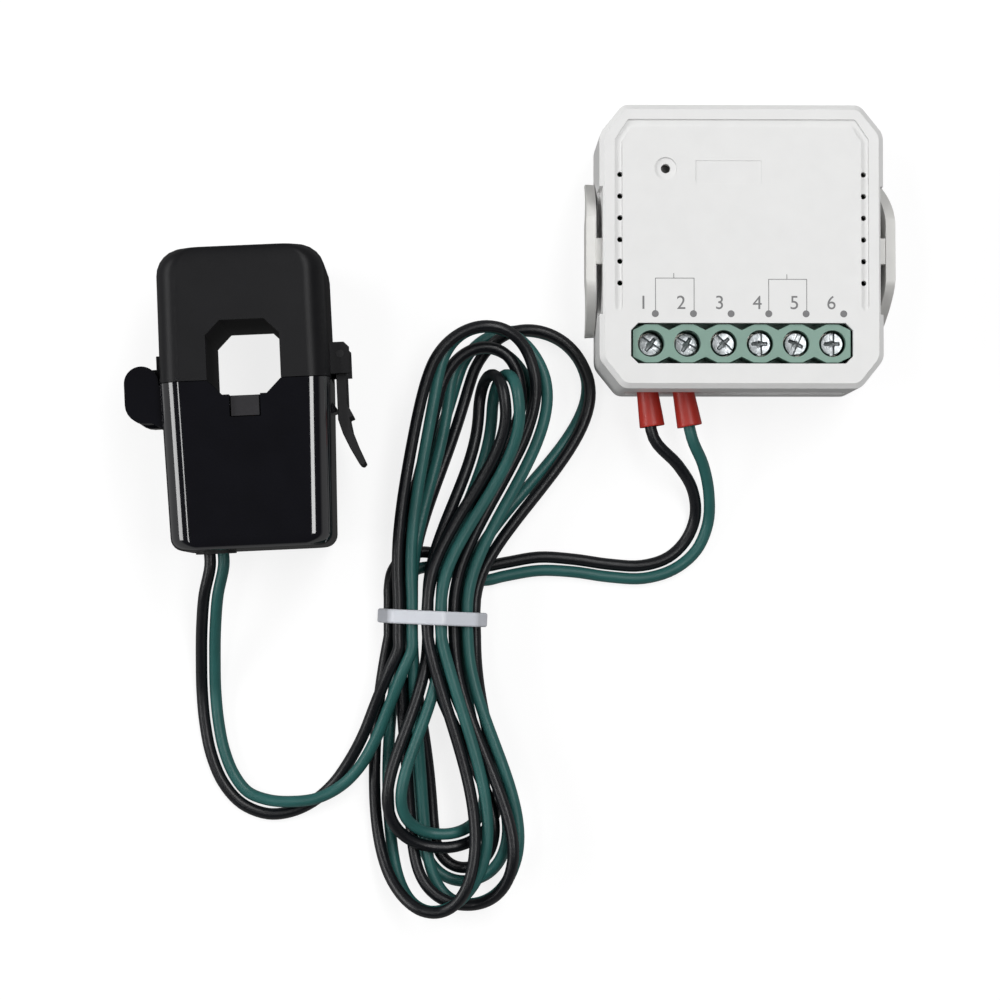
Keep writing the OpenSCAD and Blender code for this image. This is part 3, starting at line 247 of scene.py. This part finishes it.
def rounded(points, n):
    """A smooth line through the points, by centripetal interpolation with n steps between two."""
    p = [Vector(q) for q in points]
    p = [2 * p[0] - p[1]] + p + [2 * p[-1] - p[-2]]
    out = []
    for i in range(1, len(p) - 2):
        a, b, c, d = p[i - 1:i + 3]
        t1 = (b - a).length ** 0.5
        t2 = t1 + (c - b).length ** 0.5
        t3 = t2 + (d - c).length ** 0.5
        for k in range(n):
            t = t1 + (t2 - t1) * k / n
            ab = a * ((t1 - t) / t1) + b * (t / t1)
            bc = b * ((t2 - t) / (t2 - t1)) + c * ((t - t1) / (t2 - t1))
            cd = c * ((t3 - t) / (t3 - t2)) + d * ((t - t2) / (t3 - t2))
            abc = ab * ((t2 - t) / t2) + bc * (t / t2)
            bcd = bc * ((t3 - t) / (t3 - t1)) + cd * ((t - t1) / (t3 - t1))
            out.append(abc * ((t2 - t) / (t2 - t1)) + bcd * ((t - t1) / (t2 - t1)))
    out.append(p[-2])
    return out


def core_line(name):
    """Points of one core in metres, from its collar through the hank to the clamp."""
    side = 1 if name == "black" else -1
    u = GROMMET_U - side * CORE_PITCH / 2
    v = -BASE_L - GROMMET_OUT
    monitor_end = [
        hank_end(LAST_PASS, side, HALF_PASS),
        hank_end(LAST_PASS, side, HALF_PASS + CORE_DIA),
        *MONITOR_ROUTE[name],
        collar_point(name, COLLAR_L + CORE_DIA),
        collar_point(name, COLLAR_END),
    ]
    clamp_end = [
        hank_end(0, side, -HALF_PASS),
        hank_end(0, side, -HALF_PASS - CORE_DIA),
        *CLAMP_ROUTE[name],
        clamp_point(u, v - CORE_DIA, GROMMET_Z),
        clamp_point(u, v + GROMMET_DEPTH, GROMMET_Z),
    ]
    line = rounded(monitor_end, ROUTE_STEPS)[::-1]
    line += rounded(hank_line(side)[::-1], HANK_STEPS)
    line += rounded(clamp_end, ROUTE_STEPS)
    kept = line[:1]
    for q in line[1:]:
        if (q - kept[-1]).length > LEAST_STEP:
            kept.append(q)
    return [q * MM for q in kept]


def make_core(name):
    """One core as a round tube. Its points' radius turns the bevel's millimetres into metres."""
    line = core_line(name)
    data = bpy.data.curves.new(name + "_core", "CURVE")
    data.dimensions = "3D"
    data.bevel_depth = CORE_DIA / 2
    data.bevel_resolution = CORE_BEVEL
    data.use_fill_caps = True
    spline = data.splines.new("POLY")
    spline.points.add(len(line) - 1)
    for point, q in zip(spline.points, line):
        point.co = (q.x, q.y, q.z, 1.0)
        point.radius = MM
    spline.use_smooth = True
    obj = new_object(name + "_core", data)
    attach(obj, ROOT)
    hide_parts(name + "_lead_monitor_end", name + "_hank", name + "_lead_clamp_end")
    return obj


black_core = make_core("black")
green_core = make_core("green")


# Materials: every one is made of nodes, with patches, grain and changing gloss

PER_METRE = 1000
NOISE_LOW, NOISE_HIGH = 0.3, 0.7
PATCH_DETAIL = 4.0
GRAIN_DETAIL = 3.0
GRAIN_DEPTH = 0.05
LEAST_ROUGH = 0.02


def srgb(r, g, b):
    """Linear colour of screen values from 0 to 255."""
    def lin(c):
        c /= 255.0
        return c / 12.92 if c <= 0.04045 else ((c + 0.055) / 1.055) ** 2.4
    return (lin(r), lin(g), lin(b))


def surface(name, colour, rough, metal=0.0, spread=0.06, patch=0.35, grain=9.0, bump=0.06, gloss=0.1,
            stretch=(1, 1, 1), level=0.5):
    """A plain material: patch and grain are per millimetre, spread is how far the colour drifts."""
    mat = bpy.data.materials.new(name)
    mat.use_nodes = True
    tree = mat.node_tree
    tree.nodes.clear()
    add, join = tree.nodes.new, tree.links.new
    out = add("ShaderNodeOutputMaterial")
    bsdf = add("ShaderNodeBsdfPrincipled")
    join(bsdf.outputs["BSDF"], out.inputs["Surface"])
    coord = add("ShaderNodeTexCoord")

    def noise(scale, detail, stretched):
        """Value of a noise of so many grains per millimetre."""
        mapping = add("ShaderNodeMapping")
        mapping.inputs["Scale"].default_value = [PER_METRE * s for s in stretched]
        join(coord.outputs["Object"], mapping.inputs["Vector"])
        node = add("ShaderNodeTexNoise")
        node.inputs["Scale"].default_value = scale
        node.inputs["Detail"].default_value = detail
        join(mapping.outputs["Vector"], node.inputs["Vector"])
        return node.outputs["Fac"]

    cloud = noise(patch, PATCH_DETAIL, (1, 1, 1))
    ramp = add("ShaderNodeValToRGB")
    dark, light = ramp.color_ramp.elements
    dark.position, light.position = NOISE_LOW, NOISE_HIGH
    dark.color = (*[c * (1 - spread) for c in colour], 1)
    light.color = (*[min(c * (1 + spread), 1) for c in colour], 1)
    join(cloud, ramp.inputs["Fac"])
    join(ramp.outputs["Color"], bsdf.inputs["Base Color"])

    speck = noise(grain, GRAIN_DETAIL, stretch)
    sheen = add("ShaderNodeMapRange")
    sheen.inputs["From Min"].default_value = NOISE_LOW
    sheen.inputs["From Max"].default_value = NOISE_HIGH
    sheen.inputs["To Min"].default_value = max(rough - gloss, LEAST_ROUGH)
    sheen.inputs["To Max"].default_value = min(rough + gloss, 1.0)
    join(speck, sheen.inputs["Value"])
    join(sheen.outputs["Result"], bsdf.inputs["Roughness"])
    relief = add("ShaderNodeBump")
    relief.inputs["Strength"].default_value = bump
    relief.inputs["Distance"].default_value = GRAIN_DEPTH * MM
    join(speck, relief.inputs["Height"])
    join(relief.outputs["Normal"], bsdf.inputs["Normal"])
    bsdf.inputs["Specular IOR Level"].default_value = level
    bsdf.inputs["Metallic"].default_value = metal
    return mat


M = {
    "white": surface("moulded_white", (0.70, 0.70, 0.695), 0.46, spread=0.015, grain=11, bump=0.10,
                     gloss=0.06),
    "clip": surface("moulded_ivory", (0.66, 0.655, 0.635), 0.48, spread=0.02, grain=11, bump=0.10,
                    gloss=0.06),
    "terminal": surface("terminal_green", srgb(112, 144, 131), 0.42, spread=0.04, grain=10, bump=0.12,
                        gloss=0.08),
    "plated": surface("tinned_brass", (0.72, 0.70, 0.64), 0.32, metal=1.0, grain=4, bump=0.1,
                      stretch=(1, 6, 1)),
    "screw": surface("zinc_steel", (0.34, 0.36, 0.37), 0.36, metal=1.0, spread=0.2, patch=1.6, grain=4,
                     bump=0.5, gloss=0.12),
    "board": surface("board_mask", srgb(24, 84, 52), 0.38, spread=0.12, patch=0.8, grain=3, bump=0.15),
    "chip": surface("chip_epoxy", srgb(38, 38, 40), 0.62, spread=0.1, grain=14, bump=0.2),
    "tape": surface("winding_tape", srgb(196, 150, 44), 0.36, spread=0.1, grain=2, bump=0.1,
                    stretch=(1, 1, 8)),
    "sleeve": surface("capacitor_sleeve", srgb(30, 40, 84), 0.30, spread=0.08, grain=3, bump=0.06),
    "resistor": surface("resistor_paint", srgb(66, 120, 96), 0.5, spread=0.1, grain=8, bump=0.2),
    "varistor": surface("varistor_dip", srgb(40, 88, 140), 0.4, spread=0.1, grain=4, bump=0.2),
    "grey": surface("grey_acetal", srgb(120, 120, 118), 0.45, spread=0.05, grain=10, bump=0.1),
    "lens": surface("led_lens", srgb(222, 232, 236), 0.2, spread=0.03, grain=4, bump=0.04),
    "red": surface("collar_red", srgb(163, 30, 14), 0.44, spread=0.08, patch=0.5, grain=7, bump=0.12,
                   gloss=0.08),
    "black_wire": surface("black_sheath", srgb(11, 13, 17), 0.36, spread=0.18, patch=0.25, grain=6,
                          bump=0.16, gloss=0.1, level=0.35),
    "green_wire": surface("green_sheath", srgb(36, 86, 83), 0.42, spread=0.1, patch=0.25, grain=6,
                          bump=0.16, gloss=0.1, level=0.35),
    "tie": surface("tie_nylon", srgb(208, 211, 218), 0.36, spread=0.02, grain=6, bump=0.08),
    "base": surface("clamp_base_gloss", srgb(13, 13, 18), 0.08, spread=0.15, patch=0.2, grain=5,
                    bump=0.012, gloss=0.025, level=1.0),
    "cap": surface("clamp_cap_satin", srgb(19, 19, 21), 0.40, spread=0.12, patch=0.2, grain=12,
                   bump=0.06, gloss=0.05, level=0.15),
    "latch": surface("latch_matt", srgb(24, 24, 26), 0.55, spread=0.12, grain=9, bump=0.3, level=0.25),
    "ferrite": surface("ferrite", srgb(62, 62, 66), 0.7, spread=0.15, patch=1.2, grain=7, bump=0.35),
    "bobbin": surface("bobbin_plastic", srgb(38, 37, 40), 0.55, spread=0.1, grain=9, bump=0.2, level=0.2),
    "copper": surface("copper_enamel", srgb(176, 98, 52), 0.3, metal=0.9, spread=0.12, grain=5, bump=0.5,
                      stretch=(8, 1, 1)),
    "spring": surface("spring_steel", (0.55, 0.55, 0.56), 0.3, metal=1.0, grain=4, bump=0.1,
                      stretch=(1, 5, 1)),
    "rubber": surface("black_rubber", srgb(26, 26, 27), 0.6, spread=0.1, grain=10, bump=0.2),
    "ink": surface("grey_ink", srgb(112, 112, 113), 0.55, spread=0.08, patch=2.0, grain=10, bump=0.1),
}


def dress(obj, mat):
    """Gives a piece or a CAD node one material, in the slots of its object."""
    data = obj.data
    if not data.materials:
        data.materials.append(mat)
    for slot in obj.material_slots:
        slot.link = "OBJECT"
        slot.material = mat


dress(black_core, M["black_wire"])
dress(green_core, M["green_wire"])

# Material of each CAD node
LOOK = {
    "rear_case": "white", "front_cover": "white",
    "left_spring_clip": "clip", "right_spring_clip": "clip",
    "terminal_block": "terminal", "terminal_frames": "plated",
    "main_board": "board", "control_board": "board", "board_header": "chip", "shield_can": "plated",
    "power_transformer": "tape", "bulk_capacitor": "sleeve", "fuse_resistor": "resistor",
    "varistor": "varistor", "metering_chip": "chip", "converter_chip": "chip",
    "burden_resistors": "chip", "reset_switch_body": "chip", "reset_plunger": "grey",
    "status_led": "lens", "ferrule_tubes": "plated", "ferrule_collars": "red", "cable_tie": "tie",
    "ct_base_shell": "base", "ct_cap_shell": "cap", "ct_hinge_pin": "latch", "ct_latch_arm": "latch",
    "ct_latch_pin": "latch", "ct_base_core": "ferrite", "ct_cap_core": "ferrite",
    "ct_bobbin": "bobbin", "ct_winding": "copper", "ct_core_spring": "spring", "lead_grommet": "rubber",
}
TERMINALS = range(1, 7)
for i in TERMINALS:
    LOOK["terminal_screw_%d" % i] = "screw"
    LOOK["clamp_foot_%d" % i] = "plated"
for core in ("black", "green"):
    for length in ("lead_monitor_end", "hank", "lead_clamp_end"):
        LOOK["%s_%s" % (core, length)] = core + "_wire"
for name, node in NODES.items():
    dress(node, M[LOOK[name]])

BODY = {name: body for body, names in frame["record"]["behaviour"]["bodies"].items() for name in names}


# Pieces that stand for a CAD node, with rounded edges

WELD = 0.02
FLAT_ANGLE = math.radians(0.1)
SHARP_ANGLE = math.radians(35.0)
SHADE_ANGLE = math.radians(46.0)
ONE_PLANE = 0.99999
# Width of the rounding, its segments, and the length under which an edge stays sharp
SOFT_EDGES = {
    "front_cover": (0.2, 3, 0.3),
    "rear_case": (0.2, 2, 0.3),
    "left_spring_clip": (0.1, 3, 0.25),
    "right_spring_clip": (0.1, 3, 0.25),
    "terminal_block": (0.1, 2, 0.3),
    "cable_tie": (0.3, 3, 0.0),
    "ct_base_shell": (0.12, 2, 0.35),
    "ct_cap_shell": (0.12, 2, 0.35),
    "ct_latch_arm": (0.12, 2, 0.3),
}


def merge_flats(bm):
    """Joins faces that lie in one plane, wherever the result is one plain polygon."""
    flat = [e for e in bm.edges if len(e.link_faces) == 2 and e.calc_face_angle(1) < FLAT_ANGLE]
    for edge in flat:
        if not edge.is_valid or len(edge.link_faces) != 2:
            continue
        a, b = edge.link_faces
        edges = set(a.edges) & set(b.edges)
        verts = set(a.verts) & set(b.verts)
        if len(verts) == len(edges) + 1:
            bmesh.utils.face_join((a, b))
    bm.normal_update()


def even_normals(mesh):
    """Corner normals weighted by each flat region's area, so that flats stay flat beside rounded edges."""
    faces = mesh.polygons
    region = list(range(len(faces)))

    def root(i):
        while region[i] != i:
            i = region[i]
        return i

    beside = {}
    for face in faces:
        for key in face.edge_keys:
            beside.setdefault(key, []).append(face.index)
    for pair in beside.values():
        if len(pair) == 2 and faces[pair[0]].normal.dot(faces[pair[1]].normal) > ONE_PLANE:
            region[root(pair[0])] = root(pair[1])
    size = {}
    around = [[] for _ in mesh.vertices]
    for face in faces:
        size[root(face.index)] = size.get(root(face.index), 0.0) + face.area / MM ** 2
        for v in face.vertices:
            around[v].append(face.index)
    near = math.cos(SHADE_ANGLE)
    normals = [Vector((0, 0, 1))] * len(mesh.loops)
    for face in faces:
        for k, v in enumerate(face.vertices):
            weight = {}
            for other in around[v]:
                if faces[other].normal.dot(face.normal) > near:
                    weight[root(other)] = faces[other].normal * size[root(other)] ** 2
            normals[face.loop_start + k] = sum(weight.values(), Vector()).normalized()
    mesh.shade_smooth()
    mesh.normals_split_custom_set(normals)


def soft_copy(name, width, segments, shortest):
    """The node's own form with its sharp edges rounded."""
    mesh = NODES[name].data.copy()
    mesh.name = name + "_soft"
    bm = bmesh.new()
    bm.from_mesh(mesh)
    bmesh.ops.scale(bm, vec=(1 / MM,) * 3, verts=bm.verts)
    bmesh.ops.remove_doubles(bm, verts=bm.verts, dist=WELD)
    bm.normal_update()
    merge_flats(bm)
    sharp = [e for e in bm.edges if len(e.link_faces) == 2 and e.calc_face_angle(0) > SHARP_ANGLE
             and e.calc_length() > shortest]
    bmesh.ops.bevel(bm, geom=sharp, offset=width, offset_type="OFFSET", segments=segments, profile=0.5,
                    affect="EDGES", clamp_overlap=True)
    bm.normal_update()
    bmesh.ops.triangulate(bm, faces=[f for f in bm.faces if len(f.verts) > 4])
    bmesh.ops.scale(bm, vec=(MM,) * 3, verts=bm.verts)
    bm.to_mesh(mesh)
    bm.free()
    for extra in ("custom_normal", "sharp_edge", "sharp_face"):
        if extra in mesh.attributes:
            mesh.attributes.remove(mesh.attributes[extra])
    even_normals(mesh)
    obj = new_object(name + "_finish", mesh)
    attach(obj, BODY[name])
    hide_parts(name)
    dress(obj, M[LOOK[name]])


for name, edges in SOFT_EDGES.items():
    soft_copy(name, *edges)


def new_piece(name, bm, mat, body=ROOT, shade=40.0):
    """A piece of the mesh, smooth but for edges sharper than shade degrees."""
    mesh = bpy.data.meshes.new(name)
    bm.to_mesh(mesh)
    bm.free()
    mesh.shade_smooth()
    mesh.set_sharp_from_angle(angle=math.radians(shade))
    obj = new_object(name, mesh)
    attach(obj, body)
    dress(obj, mat)
    return obj


# Terminal screws: crowned heads with a slot and a cross recess

SLOT_TURNS = (-35, -30, -45, 90, 65, 90)
HEAD_RADIUS = 1.55
HEAD_DEPTH = 1.5
HEAD_CHAMFER = 0.1
RIM_WIDTH = 0.08
RIM_DROP = 0.2
CROWN = 0.10
SLOT_DEPTH, SLOT_HALF, SLOT_EASE = 0.62, 0.36, 0.10
CROSS_DEPTH, CROSS_SLOPE = 0.85, 0.45
CROSS_HALF, CROSS_TAPER, CROSS_EASE = 0.33, 0.10, 0.12
CROSS_REACH, CROSS_END = 1.12, 0.2
SHANK_RADIUS = 1.25
THREAD_DEPTH = 0.12
THREAD_STEPS = 12
SCREW_SIDES = 112
HEAD_ROWS = 34


def head_fall(x, y):
    """How far the head's top lies below its crown, with the slot along x."""
    fall = CROWN * (math.hypot(x, y) / HEAD_RADIUS) ** 2
    slot = SLOT_DEPTH * smooth((SLOT_HALF - abs(y)) / SLOT_EASE)
    reach = max(abs(x), abs(y))
    across = min(abs(x), abs(y))
    width = CROSS_HALF - CROSS_TAPER * reach
    depth = CROSS_DEPTH - CROSS_SLOPE * reach
    cross = depth * smooth((width - across) / CROSS_EASE) * smooth((CROSS_REACH - reach) / CROSS_END)
    return fall + max(slot, cross)


def make_screw(i):
    name = "terminal_screw_%d" % i
    lo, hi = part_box(name)
    cx, cy = (lo[0] + hi[0]) / 2 / MM, (lo[1] + hi[1]) / 2 / MM
    low, top = lo[2] / MM, hi[2] / MM
    under = top - HEAD_DEPTH
    turn = math.radians(SLOT_TURNS[i - 1])
    c, s = math.cos(turn), math.sin(turn)
    bm = bmesh.new()

    def ring(r, z=None, least=0.0):
        """Points round the axis at height z, or else on the head's top, at least so far below the crown."""
        made = []
        for j in range(SCREW_SIDES):
            a = 2 * math.pi * j / SCREW_SIDES
            x, y = r * math.cos(a), r * math.sin(a)
            level = top - max(head_fall(x, y), least) if z is None else z
            made.append(bm.verts.new(Vector((cx + x * c - y * s, cy + x * s + y * c, level)) * MM))
        return made

    rings = [ring((HEAD_RADIUS - RIM_WIDTH) * k / HEAD_ROWS) for k in range(1, HEAD_ROWS + 1)]
    rings += [
        ring(HEAD_RADIUS, least=RIM_DROP),
        ring(HEAD_RADIUS, under + HEAD_CHAMFER),
        ring(HEAD_RADIUS - HEAD_CHAMFER, under),
        ring(SHANK_RADIUS, under),
    ]
    for k in range(1, THREAD_STEPS + 1):
        groove = THREAD_DEPTH if k % 2 and k < THREAD_STEPS else 0.0
        rings.append(ring(SHANK_RADIUS - groove, under + (low - under) * k / THREAD_STEPS))
    for a, b in zip(rings, rings[1:]):
        for j in range(SCREW_SIDES):
            bm.faces.new((a[j], b[j], b[(j + 1) % SCREW_SIDES], a[(j + 1) % SCREW_SIDES]))
    crown = bm.verts.new(Vector((cx, cy, top - head_fall(0, 0))) * MM)
    for j in range(SCREW_SIDES):
        bm.faces.new((crown, rings[0][j], rings[0][(j + 1) % SCREW_SIDES]))
    bm.faces.new(rings[-1][::-1])
    obj = new_piece(name + "_finish", bm, M["screw"], BODY[name], 50)
    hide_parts(name)


for i in TERMINALS:
    make_screw(i)


# Ferrule collars: flared sleeves with a rounded mouth

COLLAR_SIDES = 40
# Radius and place along the axis, up the outside, round the mouth and down the inside
COLLAR_PROFILE = [
    (0.85, 0.0), (1.3, 0.02), (1.46, 0.1), (1.5, 0.3), (1.52, 1.2), (1.6, 2.6), (1.7, 4.4), (1.76, 5.6),
    (1.775, 5.8), (1.76, 5.95), (1.7, 6.0), (1.62, 5.95),
    (1.5, 5.6), (1.4, 4.0), (1.3, 1.2), (0.9, 1.1),
]


def lathe(bm, profile, place, n):
    """Faces of the profile turned about the axis of place, with open ends."""
    rings = []
    for r, s in profile:
        turns = [2 * math.pi * k / n for k in range(n)]
        points = [Vector((r * math.cos(a) * MM, r * math.sin(a) * MM, s * MM)) for a in turns]
        rings.append([bm.verts.new(place @ q) for q in points])
    for a, b in zip(rings, rings[1:]):
        for k in range(n):
            bm.faces.new((a[k], a[(k + 1) % n], b[(k + 1) % n], b[k]))
    return rings


def make_collars():
    bm = bmesh.new()
    for name, (_, lean) in COLLAR.items():
        a = math.radians(lean)
        along = Vector((math.sin(a), -math.cos(a), 0))
        turn = along.to_track_quat("Z", "X").to_matrix().to_4x4()
        place = Matrix.Translation(collar_point(name, 0.0) * MM) @ turn
        rings = lathe(bm, COLLAR_PROFILE, place, COLLAR_SIDES)
        bm.faces.new(rings[0][::-1])
        bm.faces.new(rings[-1])
    collars = new_piece("ferrule_collars_finish", bm, M["red"], shade=60)
    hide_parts("ferrule_collars")


make_collars()


# Printed terminal marks: dots, bracket lines and plain numbers

FACE_Z = 18.0
INK_LOW, INK_TOP = FACE_Z - 0.01, FACE_Z + 0.02
LINE_HALF = 0.045
DOT_X = (-11.96, -6.71, -1.53, 3.66, 8.81, 14.0)
DOT_Y = -9.35
DOT_RADIUS = 0.48
DOT_SIDES = 32
# Brackets: the two legs across, their foot and bar, and where the stem stands and ends
BRACKETS = ((-11.93, -6.62, -8.9, -4.45, -9.41, -3.75), (3.66, 8.90, -8.9, -4.59, 6.17, -3.9))
NUMBER_X = (-13.6, -8.4, -3.1, 2.1, 7.2, 12.3)
NUMBER_Y = -8.7
NUMBER_HEIGHT = 1.9
FONT_PER_HEIGHT = 1.4
NUMBER_HALF = 0.01


def flat_box(bm, x0, y0, x1, y1):
    """A line of ink between two corners."""
    low, top = Vector((x0, y0, INK_LOW)), Vector((x1, y1, INK_TOP))
    for v in bmesh.ops.create_cube(bm, size=1.0)["verts"]:
        v.co = ((low + top) / 2 + v.co * (top - low)) * MM


def disc(bm, x, y):
    """A dot of ink."""
    made = bmesh.ops.create_cone(bm, cap_ends=True, segments=DOT_SIDES, radius1=DOT_RADIUS * MM,
                                 radius2=DOT_RADIUS * MM, depth=(INK_TOP - INK_LOW) * MM)
    for v in made["verts"]:
        v.co += Vector((x, y, (INK_LOW + INK_TOP) / 2)) * MM


def make_marks():
    bm = bmesh.new()
    for x in DOT_X:
        disc(bm, x, DOT_Y)
    w = LINE_HALF
    for a, b, low, top, stem, tip in BRACKETS:
        flat_box(bm, a - w, low, a + w, top + w)
        flat_box(bm, b - w, low, b + w, top + w)
        flat_box(bm, a + w, top - w, b - w, top + w)
        flat_box(bm, stem - w, top + w, stem + w, tip)
    new_piece("terminal_marks", bm, M["ink"])


def numeral(text, x):
    data = bpy.data.curves.new("terminal_number_" + text, "FONT")
    data.body = text
    data.size = NUMBER_HEIGHT * FONT_PER_HEIGHT * MM
    data.align_x = "CENTER"
    data.extrude = NUMBER_HALF * MM
    obj = new_object("terminal_number_" + text, data)
    obj.location = (x * MM, NUMBER_Y * MM, (FACE_Z + NUMBER_HALF) * MM)
    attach(obj, ROOT)
    dress(obj, M["ink"])


make_marks()
for i, x in zip(TERMINALS, NUMBER_X):
    numeral(str(i), x)


# Floor and light

FLOOR_AT = (-0.03, -0.03, 0)
FLOOR_HALF = 3.0
FLOOR_TONE = 0.22
FLOOR_GLOW = 0.82
LIGHT_AIM = (-0.035, -0.04, 0.0)
# Lights: place, width and height, and power in watts
LIGHTS = {
    "key_light": ((0.275, 0.27, 1.0), (0.35, 1.0), 8.2),
    "left_strip": ((-0.86, 0.1, 0.50), (0.34, 0.9), 5.6),
    "near_left_strip": ((-0.42, -0.04, 1.0), (0.09, 0.9), 1.6),
}
SKY_DARK, SKY_PALE = 0.04, 0.45
SKY_BAND = ((0.08, SKY_DARK), (0.18, SKY_PALE), (0.66, SKY_PALE), (0.78, SKY_DARK))


def make_floor():
    """A pale floor that takes shadows, but neither lights the object nor is mirrored in it."""
    bm = bmesh.new()
    bmesh.ops.create_grid(bm, x_segments=2, y_segments=2, size=FLOOR_HALF)
    mesh = bpy.data.meshes.new("floor")
    bm.to_mesh(mesh)
    bm.free()
    floor = new_object("floor", mesh)
    floor.location = FLOOR_AT
    pale = surface("pale_floor", (FLOOR_TONE,) * 3, 0.9, spread=0.005, patch=0.02, grain=1, bump=0.0,
                   level=0.0)
    bsdf = next(n for n in pale.node_tree.nodes if n.type == "BSDF_PRINCIPLED")
    bsdf.inputs["Emission Color"].default_value = (1, 1, 1, 1)
    bsdf.inputs["Emission Strength"].default_value = FLOOR_GLOW
    dress(floor, pale)
    floor.visible_diffuse = False
    floor.visible_glossy = False


def make_light(name, place, size, power):
    data = bpy.data.lights.new(name, "AREA")
    data.shape = "RECTANGLE"
    data.size, data.size_y = size
    data.energy = power
    new_object(name, data).matrix_world = looking(place, LIGHT_AIM)


def make_sky():
    """Soft fill: a pale band round the horizon, dark overhead so that flat tops stay deep in colour."""
    world = bpy.data.worlds.new("studio")
    world.use_nodes = True
    nodes, join = world.node_tree.nodes, world.node_tree.links.new
    toward = nodes.new("ShaderNodeTexCoord")
    parts = nodes.new("ShaderNodeSeparateXYZ")
    height = nodes.new("ShaderNodeMapRange")
    height.inputs["From Min"].default_value = -1.0
    band = nodes.new("ShaderNodeValToRGB")
    stops = band.color_ramp.elements
    for place, tone in SKY_BAND:
        stops.new(place).color = (tone, tone, tone, 1)
    for end in (stops[0], stops[-1]):
        end.color = (SKY_DARK, SKY_DARK, SKY_DARK, 1)
    join(toward.outputs["Generated"], parts.inputs["Vector"])
    join(parts.outputs["Z"], height.inputs["Value"])
    join(height.outputs["Result"], band.inputs["Fac"])
    join(band.outputs["Color"], nodes["Background"].inputs["Color"])
    bpy.context.scene.world = world


make_floor()
for name, light in LIGHTS.items():
    make_light(name, *light)
make_sky()
bpy.context.scene.view_settings.view_transform = "Standard"

bpy.context.view_layer.update()
